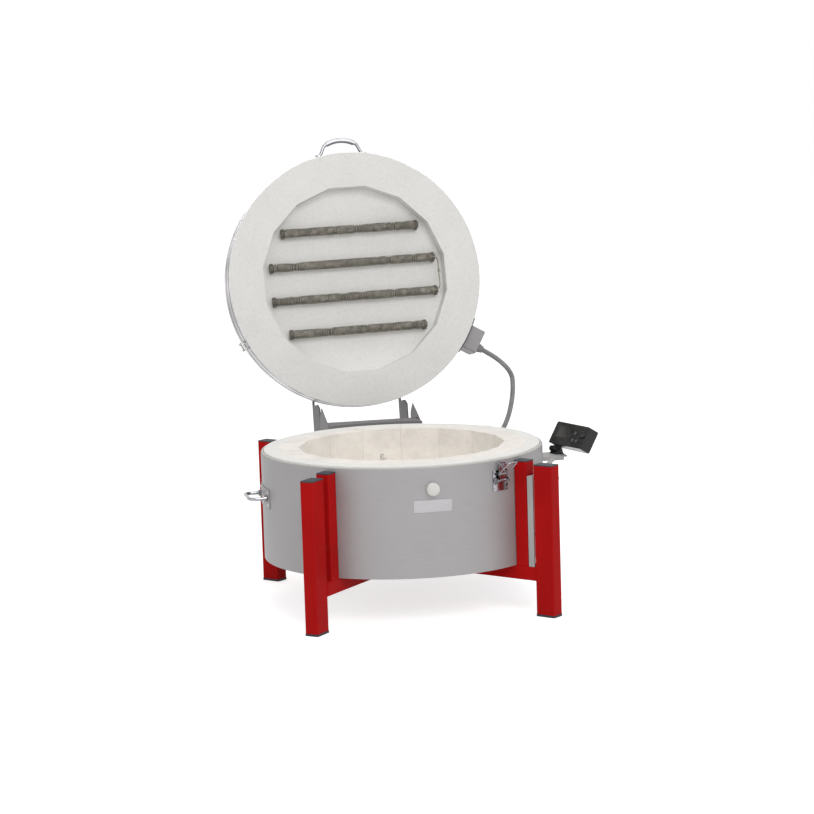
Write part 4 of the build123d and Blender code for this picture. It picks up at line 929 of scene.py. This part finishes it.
@dataclass(frozen=True)
class Studio:
    """Camera, lamps and floor, in metres of the row frame.

    Attributes:
        lens_pixels: Focal length in pixels of the photograph.
        turn: Degrees that the camera stands to the left of the kiln's front.
        height: Degrees that it looks down.
        roll: Degrees that it is rolled.
        stand: Where it stands.
        far: How far it sees.
        aim: Point that the lamps face.
        lamps: The lamps.
        ambient: Strength of the white surroundings as a light.
        floor_level: Height of the floor, a hair under the feet.
        floor_corners: Left, near, right and far edges of the floor.
        floor_grey: Its grey.
        floor_glow: Light that it adds where it is seen.
    """

    lens_pixels: float = 2429.2
    turn: float = -11.65
    height: float = 7.97
    roll: float = -1.82
    stand: tuple[float, float, float] = (-1.4417, -7.0511, 1.5424)
    far: float = 60.0
    aim: tuple[float, float, float] = (0.0, 0.0, 0.6)
    lamps: tuple[Lamp, ...] = (
        Lamp("key_lamp", (0.6, -5.8, 4.4), 3.0, 136.0),
        Lamp("fill_lamp", (-3.8, -3.6, 2.6), 3.0, 20.0),
        Lamp("top_lamp", (0.4, 0.2, 5.2), 3.6, 68.0),
    )
    ambient: float = 0.5
    floor_level: float = -0.0005
    floor_corners: tuple[float, float, float, float] = (-14.0, -9.0, 14.0, 22.0)
    floor_grey: float = 0.8
    floor_glow: float = 0.66

    def build(self) -> None:
        """Set up the camera, the lamps, the surroundings and the floor."""
        bpy.context.scene.view_settings.view_transform = "Standard"
        self._camera()
        for lamp in self.lamps:
            lamp.hang(Vector(self.aim))
        self._surroundings()
        self._floor()

    def _camera(self) -> None:
        """Camera at the photograph's angle."""
        az, el, roll = (math.radians(v) for v in (self.turn, self.height, self.roll))
        look = Vector((-math.sin(az) * math.cos(el), math.cos(az) * math.cos(el), -math.sin(el)))
        right = Vector((math.cos(az), math.sin(az), 0.0))
        top = right.cross(look)
        across = right * math.cos(roll) + top * math.sin(roll)
        top = top * math.cos(roll) - right * math.sin(roll)
        view = bpy.data.cameras.new("photo_camera")
        view.sensor_width = 36.0
        view.lens = self.lens_pixels / PHOTO_WIDTH * view.sensor_width
        view.clip_end = self.far
        camera = bpy.data.objects.new("photo_camera", view)
        turn = Matrix((across, top, -look)).transposed().to_4x4()
        camera.matrix_world = Matrix.Translation(self.stand) @ turn
        bpy.context.scene.collection.objects.link(camera)
        bpy.context.scene.camera = camera

    def _surroundings(self) -> None:
        """White all round for the camera and for reflections, a plainer level for light."""
        world = bpy.data.worlds.new("studio")
        bpy.context.scene.world = world
        world.use_nodes = True
        nodes, links = world.node_tree.nodes, world.node_tree.links
        backdrop = nodes["Background"]
        backdrop.inputs["Color"].default_value = (1.0, 1.0, 1.0, 1.0)
        level = nodes.new("ShaderNodeMapRange")
        level.inputs["To Min"].default_value = self.ambient
        level.inputs["To Max"].default_value = 1.0
        links.new(seen_directly(nodes, links), level.inputs["Value"])
        links.new(level.outputs["Result"], backdrop.inputs["Strength"])

    def _floor(self) -> None:
        """Pale floor that keeps the kiln's shadow and runs out into white."""
        left, near, right, far = self.floor_corners
        corners = ((left, near), (right, near), (right, far), (left, far))
        mesh = bpy.data.meshes.new("studio_floor")
        mesh.from_pydata([(x, y, self.floor_level) for x, y in corners], [], [(0, 1, 2, 3)])
        mesh.materials.append(self._floor_paint())
        floor = bpy.data.objects.new("studio_floor", mesh)
        bpy.context.scene.collection.objects.link(floor)

    def _floor_paint(self) -> bpy.types.Material:
        """Make the floor's paint, which glows only where it is seen.

        Returns:
            The material.
        """
        material = bpy.data.materials.new("studio_floor")
        material.use_nodes = True
        nodes, links = material.node_tree.nodes, material.node_tree.links
        shader = nodes["Principled BSDF"]
        shader.inputs["Base Color"].default_value = (*[self.floor_grey] * 3, 1.0)
        shader.inputs["Roughness"].default_value = 0.9
        shader.inputs["Specular IOR Level"].default_value = 0.1
        glow = nodes.new("ShaderNodeEmission")
        glow.inputs["Color"].default_value = (1.0, 1.0, 1.0, 1.0)
        glow.inputs["Strength"].default_value = self.floor_glow
        lit = nodes.new("ShaderNodeAddShader")
        links.new(shader.outputs[0], lit.inputs[0])
        links.new(glow.outputs[0], lit.inputs[1])
        mix = nodes.new("ShaderNodeMixShader")
        links.new(seen_directly(nodes, links), mix.inputs[0])
        links.new(shader.outputs[0], mix.inputs[1])
        links.new(lit.outputs[0], mix.inputs[2])
        links.new(mix.outputs[0], nodes["Material Output"].inputs["Surface"])
        return material


@dataclass(frozen=True)
class Drum:
    """Steel drum with its brick chamber, rim, plug, label and thermocouple.

    Attributes:
        radius: Radius of the shell.
        shell_top: Height of the shell's top edge.
        bottom: Height of its bottom edge.
        top_lip: Radius of the rolled lip at the top.
        foot_lip: Radius of the rolled lip at the bottom.
        lip_proud: How far the lips stand out of the shell.
        seam_angle: Angle of the lap seam.
        seam_width: Width of the lap.
        seam_inset: Distance of its ends from the shell's edges.
        lap: How far its outer face stands out of the shell.
        lap_seat: How far its inner face does.
        rivet: Rivets of the seam.
        rivet_start: Height of the lowest rivet over the bottom edge.
        rivet_pitch: Distance between rivets.
        rivet_count: Number of rivets.
        couple_height: Height of the thermocouple.
        couple_back: Distance from the axis to the outside of the thermocouple's head.
        couple_spread: Distance of its screws from its middle.
    """

    radius: float = 410.0
    shell_top: float = 447.5
    bottom: float = 140.0
    top_lip: float = 1.0
    foot_lip: float = 0.9
    lip_proud: float = 0.1
    seam_angle: float = -158.0
    seam_width: float = 22.0
    seam_inset: float = 4.0
    lap: float = 0.9
    lap_seat: float = 0.05
    rivet: Fastener = Fastener(Head.RIVET, 3.2, 1.6)
    rivet_start: float = 22.0
    rivet_pitch: float = 38.0
    rivet_count: int = 8
    couple_height: float = 374.0
    couple_back: float = 440.0
    couple_spread: float = 16.0

    def build(self) -> None:
        """Dress the drum's nodes and add its lips, seam and small screws."""
        dress(DRUM_STEEL, "drum_shell", "drum_base")
        dress(LID_FIBRE, "base_board")
        dress(BRICK, "chamber_floor", "wall_bricks")
        dress(FIBRE_WOOL, "wall_blanket")
        dress(RIM_FIBRE, "rim_ring")
        dress(EDGE_SEAL, "rim_seal")
        dress(PLUG_CERAMIC, "peephole_plug", "thermocouple")
        dress(LABEL_METAL, "label_plate")
        dress(ZINC, "label_rivets")
        dress(GREY_PLASTIC, "thermocouple_head")
        self._lips()
        self._seam()
        self._head_screws()

    def _lips(self) -> None:
        """Rolled lips at the shell's top and bottom edges."""
        draft = Draft()
        for lip, height in ((self.top_lip, self.shell_top), (self.foot_lip, self.bottom + self.foot_lip)):
            draft.swept(level_circle(self.radius - (lip - self.lip_proud), height), lip, looped=True)
        draft.piece("shell_lips", DRUM_STEEL, "kiln")

    def _seam(self) -> None:
        """Lap seam of the shell at the back, with its rivets."""
        draft = Draft()
        half = half_angle(self.seam_width, self.radius)
        turns = [half * (k / 4 - 1) for k in range(9)]
        rings = []
        for height in (self.bottom + self.seam_inset, self.shell_top - self.seam_inset):
            faces = ((1, self.lap), (-1, self.lap_seat))
            rings.append([outward(self.seam_angle + way * turn) * (self.radius + proud) + UP * height
                          for way, proud in faces for turn in turns])
        draft.skin(rings)
        draft.piece("shell_seam", DRUM_STEEL, "kiln")
        rivets = Draft()
        heights = [self.bottom + self.rivet_start + k * self.rivet_pitch for k in range(self.rivet_count)]
        places = [wall_seat(self.seam_angle, height, self.radius + self.lap) for height in heights]
        self.rivet.drive(rivets, places)
        rivets.piece("seam_rivets", ZINC, "kiln")

    def _head_screws(self) -> None:
        """Two screws that hold the thermocouple's head."""
        draft = Draft()
        back = Vector((0.0, 1.0, 0.0))
        places = [seat(Vector((x, self.couple_back, self.couple_height)), back, UP)
                  for x in (-self.couple_spread, self.couple_spread)]
        Fastener(Head.PAN, 3.4, 1.8).drive(draft, places)
        draft.piece("thermocouple_screws", ZINC, "kiln")


@dataclass(frozen=True)
class TubeStand:
    """Red tube frame with its welds, caps, feet and tie bolts.

    Attributes:
        leg_angles: Angles of the legs.
        leg_inner: Distance from the axis to the inner face of a leg.
        upright_inner: Distance to the inner face of an upright.
        upright_outer: Distance to its outer face.
        beam_top: Height of the floor beams' top.
        half_tube: Half of the tubes' width.
        bead: Radius of a weld bead.
        bead_step: Distance between the points along a bead.
        bead_setback: How far the inner bead stands off an upright's inner face.
        bead_short: How far beads across an upright stop short of its corners.
        bolt_height: Height of the tie bolts.
        nut: Thickness of a nut with its washer.
        thread_radius: Radius of the thread's centre line.
        thread_wire: Radius of its ridge.
        thread_pitch: Its pitch.
    """

    leg_angles: tuple[float, ...] = (-41.0, 41.0, 139.0, -139.0)
    leg_inner: float = 475.3
    upright_inner: float = 410.3
    upright_outer: float = 450.3
    beam_top: float = 140.0
    half_tube: float = 20.0
    bead: float = 2.3
    bead_step: float = 0.9
    bead_setback: float = 1.5
    bead_short: float = 1.0
    bolt_height: float = 232.0
    nut: float = 7.0
    thread_radius: float = 4.1
    thread_wire: float = 0.42
    thread_pitch: float = 1.25

    def build(self) -> None:
        """Dress the stand and add weld beads and the bolts' threads."""
        dress(RED_ENAMEL, "outer_legs", "leg_uprights", "floor_beams")
        dress(CAP_PLASTIC, "tube_caps", "leg_feet")
        dress(ZINC, "tie_bolts")
        self._welds()
        self._threads()

    def _bead(self, draft: Draft, start: Vector, end: Vector) -> None:
        """Weld bead with its ripples between two points.

        Args:
            draft: Mesh that gathers the beads.
            start: Where the bead starts.
            end: Where it ends.
        """
        steps = max(4, round((end - start).length / self.bead_step))
        path = [start.lerp(end, k / steps) for k in range(steps + 1)]
        ripples = [0.88 + 0.12 * math.cos(k * 1.9) for k in range(steps + 1)]
        ripples[0] = ripples[-1] = 0.45
        draft.swept(path, lambda k: self.bead * ripples[k])

    def _welds(self) -> None:
        """Beads where beams meet legs and uprights stand on beams."""
        draft = Draft()
        half = self.half_tube
        for angle in self.leg_angles:
            out, side = outward(angle), sideways(angle)
            low, high = self.beam_top - 2 * half, self.beam_top
            corners = [out * self.leg_inner + side * s * half + UP * z for s, z in
                       ((-1, low), (-1, high), (1, high), (1, low))]
            for start, end in zip(corners, corners[1:] + corners[:1]):
                self._bead(draft, start.lerp(end, 0.06), start.lerp(end, 0.94))
            for radius in (self.upright_inner + self.bead_setback, self.upright_outer):
                middle, reach = out * radius + UP * self.beam_top, side * (half - self.bead_short)
                self._bead(draft, middle - reach, middle + reach)
        draft.piece("weld_beads", RED_ENAMEL, "kiln", smooth=60.0)

    def _threads(self) -> None:
        """Thread of each tie bolt between its nuts."""
        draft = Draft()
        steps = 12
        length = self.leg_inner - self.upright_outer - 2 * self.nut
        count = int(length / self.thread_pitch) * steps
        for angle in self.leg_angles:
            start = outward(angle) * (self.upright_outer + self.nut) + UP * self.bolt_height
            base = seat(start, outward(angle), sideways(angle))
            path = []
            for k in range(count):
                spin = k * math.pi / (steps / 2)
                x, y = self.thread_radius * math.cos(spin), self.thread_radius * math.sin(spin)
                path.append(base @ Vector((x, y, k * self.thread_pitch / steps)))
            draft.swept(path, self.thread_wire, sides=5)
        draft.piece("bolt_threads", ZINC, "kiln", smooth=60.0)


@dataclass(frozen=True)
class SideFittings:
    """Carrying handles and the toggle latch on the drum's wall.

    Attributes:
        plate_radius: Distance from the axis to the outside of the plates.
        handle_height: Height of the handles.
        handle_rivets: Distances between a handle plate's rivets, round the drum and up it.
        latch_angle: Angle of the latch.
        latch_height: Height of its lever's pivot.
        latch_rivets: Distances between the latch's rivets, round the drum and up it.
    """

    plate_radius: float = 412.8
    handle_height: float = 330.0
    handle_rivets: tuple[float, float] = (126.0, 36.0)
    latch_angle: float = 30.0
    latch_height: float = 392.0
    latch_rivets: tuple[float, float] = (49.8, 44.0)

    def build(self) -> None:
        """Dress the handles and the latch and add their rivets."""
        dress(DRUM_STEEL, "handle_plates")
        dress(CHROME, "side_handles", "latch_lever", "latch_loop", "latch_base")
        rivets = Draft()
        for angle in (-90.0, 90.0):
            places = self._corners(angle, self.handle_height, self.handle_rivets)
            Fastener(Head.RIVET, 4.0, 2.0).drive(rivets, places)
        rivets.piece("handle_rivets", ZINC, "kiln")
        pins = Draft()
        places = self._corners(self.latch_angle, self.latch_height, self.latch_rivets, proud=0.05)
        Fastener(Head.RIVET, 2.0, 1.3).drive(pins, places)
        pins.piece("latch_rivets", CHROME, "kiln")

    def _corners(self, angle: float, height: float, apart: tuple[float, float],
                 proud: float = 0.0) -> list[Matrix]:
        """Places of four rivets at the corners of a plate.

        Args:
            angle: Angle of the plate's middle.
            height: Its height.
            apart: Distances between the rivets, round the drum and up it.
            proud: How far they stand off the plate.

        Returns:
            The four places.
        """
        spread, rise = half_angle(apart[0], self.plate_radius), apart[1] / 2
        return [wall_seat(angle, height + up, self.plate_radius + proud, turn)
                for up in (-rise, rise) for turn in (-spread, spread)]


@dataclass(frozen=True)
class Hinge:
    """Hinge console on the drum's back, its pin and the lid's arms.

    Attributes:
        saddle_radius: Distance from the axis to the outside of the console's saddle.
        bolt_heights: Heights of its rows of bolts.
        bolt_turns: Angles of the bolts from its middle.
    """

    saddle_radius: float = 413.3
    bolt_heights: tuple[float, ...] = (322.0, 432.0)
    bolt_turns: tuple[float, ...] = (-15.5, -6.5, 6.5, 15.5)

    def build(self) -> None:
        """Dress the hinge and add the console's bolts."""
        dress(GREY_SHEET, "hinge_console")
        dress(ARM_COAT, "lid_arms")
        dress(ZINC, "hinge_pin", "lid_bolts")
        bolts = Draft()
        Fastener(Head.HEXAGON, 6.0, 4.6).drive(bolts, [
            wall_seat(180.0, height, self.saddle_radius, turn)
            for height in self.bolt_heights for turn in self.bolt_turns])
        bolts.piece("console_bolts", ZINC, "kiln")


@dataclass(frozen=True)
class Lid:
    """Hinged lid: steel pan, fibre block with its recess, bands, handle and catch.

    Attributes:
        radius: Radius of the pan.
        lip: Radius of the lip of its edge.
    """

    radius: float = 400.0
    lip: float = 0.9

    def build(self) -> None:
        """Dress the lid and add the lip of its pan."""
        dress(LID_STEEL, "lid_pan")
        dress(LID_FIBRE, "lid_block")
        dress(RECESS_FIBRE, "recess_panel")
        dress(BAND_STEEL, "tension_bands")
        dress(CHROME, "lid_handle", "handle_grip", "lid_catch")
        draft = Draft(on_lid=True)
        draft.swept(level_circle(self.radius - self.lip, self.lip), self.lip, looped=True)
        draft.piece("pan_lip", LID_STEEL, "lid")


@dataclass(frozen=True)
class HeatingElements:
    """Four ceramic tubes wound closely with resistance wire.

    Attributes:
        pitch: Distance between tubes.
        depth: Height of their axes over the lid's face.
        lengths: Length of each tube.
        turn: Angle of the tubes on the lid.
        coil_radius: Radius of the windings' centre line.
        wire_radius: Radius of the wire.
        close: Distance between turns where they lie close.
        margin: Bare ceramic at each end.
        loose_count: Number of stretches on a tube where the turns have drifted apart.
        link_out: Place of the link wire along the tubes.
        link_level: Height of the link wire over the lid's face.
        twist_radius: Radius of the binding twist's centre line.
        twist_wire: Radius of its wire.
        twist_start: Where it starts on the link wire, from the middle between the tubes.
    """

    pitch: float = 106.0
    depth: float = 27.0
    lengths: tuple[float, ...] = (440.0, 530.0, 530.0, 440.0)
    turn: float = -1.5
    coil_radius: float = 12.8
    wire_radius: float = 1.3
    close: float = 3.15
    margin: float = 12.4
    loose_count: int = 9
    link_out: float = 271.3
    link_level: float = 14.6
    twist_radius: float = 2.4
    twist_wire: float = 0.9
    twist_start: float = -11.8

    def build(self) -> None:
        """Dress the tubes and saddles and wind the wires."""
        dress(TUBE_CERAMIC, "heater_tubes", "tube_saddles")
        dress(WIRE, "element_leads")
        chance = random.Random(41)
        draft = Draft(on_lid=True)
        for row, length in enumerate(self.lengths):
            self._wind(draft, (row - 1.5) * self.pitch, length, chance)
        windings = draft.piece("close_windings", WIRE, "lid", smooth=80.0)
        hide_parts("heating_coils")
        self._twist()

    def _axes(self) -> tuple[Vector, Vector]:
        """Directions on the lid along the tubes and across them."""
        return sideways(self.turn), outward(self.turn + 180)

    def _twist(self) -> None:
        """Binding twist round the wire that links the second and third tubes."""
        along, across = self._axes()
        path = []
        for k in range(60):
            spin = k * 0.55
            centre = along * self.link_out + across * (self.twist_start + k * 0.16) + UP * self.link_level
            path.append(centre + (along * math.cos(spin) + UP * math.sin(spin)) * self.twist_radius)
        tail = [path[-1] + along * 2.0 * k + UP * 0.6 * k for k in range(1, 4)]
        draft = Draft(on_lid=True)
        draft.swept(path + tail, self.twist_wire, sides=6)
        draft.piece("link_twist", WIRE, "lid", smooth=80.0)

    def _wind(self, draft: Draft, row: float, length: float, chance: random.Random) -> None:
        """Wind one wire, with a few stretches where its turns have drifted apart.

        Args:
            draft: Mesh that gathers the windings.
            row: Place of the tube across the lid.
            length: Length of the tube.
            chance: Source of the uneven stretches, seeded.
        """
        along, across = self._axes()
        reach = length / 2 - self.margin
        loose = [(chance.uniform(-reach, reach), chance.uniform(4, 16), chance.uniform(0.6, 1.8))
                 for _ in range(self.loose_count)]
        path, x, k, steps = [], -reach, 0, 14
        while x < reach:
            spin = 2 * math.pi * k / steps
            centre = along * x + across * row + UP * self.depth
            path.append(centre + (across * math.sin(spin) + UP * math.cos(spin)) * self.coil_radius)
            spread = 1 + sum(rise * math.exp(-((x - middle) / width) ** 2) for middle, width, rise in loose)
            wave = 1 + 0.12 * math.sin(x * 0.21 + row) + 0.08 * math.sin(x * 0.67)
            x += self.close * spread * wave / steps
            k += 1
        draft.swept(path, self.wire_radius, sides=6)


@dataclass(frozen=True)
class Boxes:
    """Terminal box on the lid and connection box on the drum's back.

    Attributes:
        terminal_angle: Angle of the terminal box on the lid.
        plate_radius: Distance from the lid's axis to the outside of its plate.
        plate_width: Width of the plate.
        plate_inset: Angle from the plate's edge to its rivets.
        plate_levels: Heights of its rivets.
        rear_angle: Angle of the connection box on the drum.
        rear_wall: Distance from the axis to the drum's wall.
        rear_top: Height of the connection box's top.
        rear_half: Half of its width.
        cap_proud: How far its cap stands out of its sides.
        screw_drop: How far its screws lie under its top.
        screw_reach: Distances of its screws from the wall.
    """

    terminal_angle: float = 119.5
    plate_radius: float = 403.6
    plate_width: float = 118.0
    plate_inset: float = 1.6
    plate_levels: tuple[float, float] = (13.0, 102.0)
    rear_angle: float = 149.5
    rear_wall: float = 410.0
    rear_top: float = 340.0
    rear_half: float = 50.0
    cap_proud: float = 2.5
    screw_drop: float = 6.0
    screw_reach: tuple[float, float] = (30.0, 56.0)

    def build(self) -> None:
        """Dress both boxes and add the rivets and screws that hold them."""
        dress(BOX_SHEET, "terminal_box", "terminal_cover", "rear_box", "rear_box_cap")
        dress(ARM_COAT, "terminal_plate")
        dress(PORCELAIN, "terminal_block")
        dress(RELAY_PLASTIC, "relay")
        dress(GREY_PLASTIC, "terminal_gland", "rear_glands")
        rivets = Draft(on_lid=True)
        spread = half_angle(self.plate_width, self.plate_radius) - self.plate_inset
        Fastener(Head.RIVET, 3.4, 1.7).drive(rivets, [
            wall_seat(self.terminal_angle, height, self.plate_radius, turn)
            for height in self.plate_levels for turn in (-spread, spread)])
        rivets.piece("terminal_plate_rivets", ZINC, "lid")
        screws = Draft()
        out, side = outward(self.rear_angle), sideways(self.rear_angle)
        half, level = self.rear_half + self.cap_proud, UP * (self.rear_top - self.screw_drop)
        Fastener(Head.PAN, 3.2, 1.8).drive(screws, [
            seat(out * (self.rear_wall + reach) + side * s * half + level, side * s, UP)
            for reach in self.screw_reach for s in (-1, 1)])
        screws.piece("rear_cap_screws", ZINC, "kiln")


@dataclass(frozen=True)
class Controller:
    """Controller case on its cradle and shelf.

    Attributes:
        centre: Middle of the case, in millimetres of the drum's frame.
        facing: Angle that its face looks to.
        lean: Degrees that its face leans back.
        half_width: Half of its width.
        half_tall: Half of its height.
        face: Distance from its middle to its face.
        screw_inset: Distance of its screws from its edges.
        shelf_angle: Angle of the shelf.
        shelf_radius: Distance from the axis to the outside of the shelf's flange.
        shelf_level: Height of its rivets.
        shelf_turn: Angle of its rivets from its middle.
    """

    centre: tuple[float, float, float] = (505.0, -50.0, 450.0)
    facing: float = -72.0
    lean: float = 31.0
    half_width: float = 85.0
    half_tall: float = 35.0
    face: float = 17.0
    screw_inset: float = 7.0
    shelf_angle: float = 88.0
    shelf_radius: float = 412.3
    shelf_level: float = 378.0
    shelf_turn: float = 4.6

    def build(self) -> None:
        """Dress the controller and add its case screws and the shelf's rivets."""
        dress(LIGHT_SHEET, "controller_shelf")
        dress(BLACK_COAT, "controller_cradle")
        dress(CASE_PLASTIC, "controller_back", "controller_front", "tilt_knob", "power_switch")
        dress(WINDOW_PANE, "controller_window")
        dress(KEY_PLASTIC, "key_one", "key_two", "key_start")
        dress(BOARD_LACQUER, "circuit_board")
        level = sideways(self.facing)
        lean = math.radians(self.lean)
        out = outward(self.facing) * math.cos(lean) + UP * math.sin(lean)
        up = out.cross(level)
        middle = Vector(self.centre) + out * self.face
        aside, above = level * (self.half_width - self.screw_inset), up * (self.half_tall - self.screw_inset)
        screws = Draft()
        Fastener(Head.PAN, 2.6, 1.2).drive(screws, [
            seat(middle + aside * x + above * y, out, level) for x in (-1, 1) for y in (-1, 1)])
        screws.piece("case_screws", BLACK_COAT, "controller")
        rivets = Draft()
        Fastener(Head.RIVET, 3.4, 1.6).drive(rivets, [
            wall_seat(self.shelf_angle, self.shelf_level, self.shelf_radius, turn)
            for turn in (-self.shelf_turn, self.shelf_turn)])
        rivets.piece("shelf_rivets", ZINC, "kiln")


@dataclass(frozen=True)
class Conduit:
    """Flexible conduit from the lid's terminal box to the connection box, in metres of the row frame.

    Attributes:
        route: Control points of its line, from the lid's gland to the box's.
        radius: Its outer radius.
        ribs: Distance between its ribs.
        wave: Shares of the radius along one rib.
        length: Its real length. Not used.
    """

    route: tuple[tuple[float, float, float], ...] = (
        (0.35131, 0.45529, 0.64230),
        (0.44879, 0.44571, 0.58799),
        (0.44763, 0.41527, 0.49200),
        (0.40363, 0.38127, 0.38000),
        (0.26224, 0.33059, 0.25200),
        (0.20134, 0.22719, 0.25200),
    )
    radius: float = 0.008
    ribs: float = 0.0042
    wave: tuple[float, ...] = (1.0, 0.985, 0.93, 0.9, 0.93, 0.985)
    length: float = 0.635

    def build(self) -> None:
        """Lay the conduit between the kiln and the lid."""
        path = self._even(self._line())
        draft = Draft()
        draft.to_row = Matrix.Identity(4)
        draft.swept(path, lambda n: self.radius * self.wave[n % len(self.wave)], sides=20)
        hose = draft.piece("ribbed_conduit", GREY_PLASTIC, "", smooth=60.0)
        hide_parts("conduit")
        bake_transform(hose)

    def _even(self, line: Sequence[Vector]) -> list[Vector]:
        """Space the points of a line evenly, as many to each rib as its wave has.

        Args:
            line: The line.

        Returns:
            The new points.
        """
        reach = [0.0]
        for a, b in zip(line, line[1:]):
            reach.append(reach[-1] + (b - a).length)
        count = round(reach[-1] / self.ribs) * len(self.wave)
        path, k = [], 0
        for i in range(count + 1):
            goal = reach[-1] * i / count
            while k + 2 < len(reach) and reach[k + 1] < goal:
                k += 1
            share = (goal - reach[k]) / (reach[k + 1] - reach[k])
            path.append(line[k].lerp(line[k + 1], share))
        return path

    def _line(self) -> list[Vector]:
        """Draw the smooth line that the control points give.

        Returns:
            Its points.
        """
        curve = bpy.data.curves.new("conduit_line", "CURVE")
        curve.dimensions = "3D"
        curve.resolution_u = 24
        spline = curve.splines.new("NURBS")
        spline.points.add(len(self.route) - 1)
        for point, place in zip(spline.points, self.route):
            point.co = (*place, 1.0)
        spline.order_u = 3
        spline.use_endpoint_u = True
        helper = bpy.data.objects.new("conduit_line", curve)
        bpy.context.scene.collection.objects.link(helper)
        bpy.context.view_layer.update()
        mesh = bpy.data.meshes.new_from_object(helper.evaluated_get(bpy.context.evaluated_depsgraph_get()))
        points = [vertex.co.copy() for vertex in mesh.vertices]
        bpy.data.meshes.remove(mesh)
        bpy.data.objects.remove(helper)
        bpy.data.curves.remove(curve)
        return points


def main() -> None:
    """Build the studio, then dress and detail each sub-assembly in turn."""
    logging.basicConfig(level=logging.INFO, format="%(name)s: %(message)s")
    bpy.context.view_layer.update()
    for assembly in (Studio(), Conduit(), Drum(), TubeStand(), SideFittings(), Hinge(), Lid(),
                     HeatingElements(), Boxes(), Controller()):
        assembly.build()
        log.info("built %s", type(assembly).__name__)


if __name__ == "__main__":
    main()
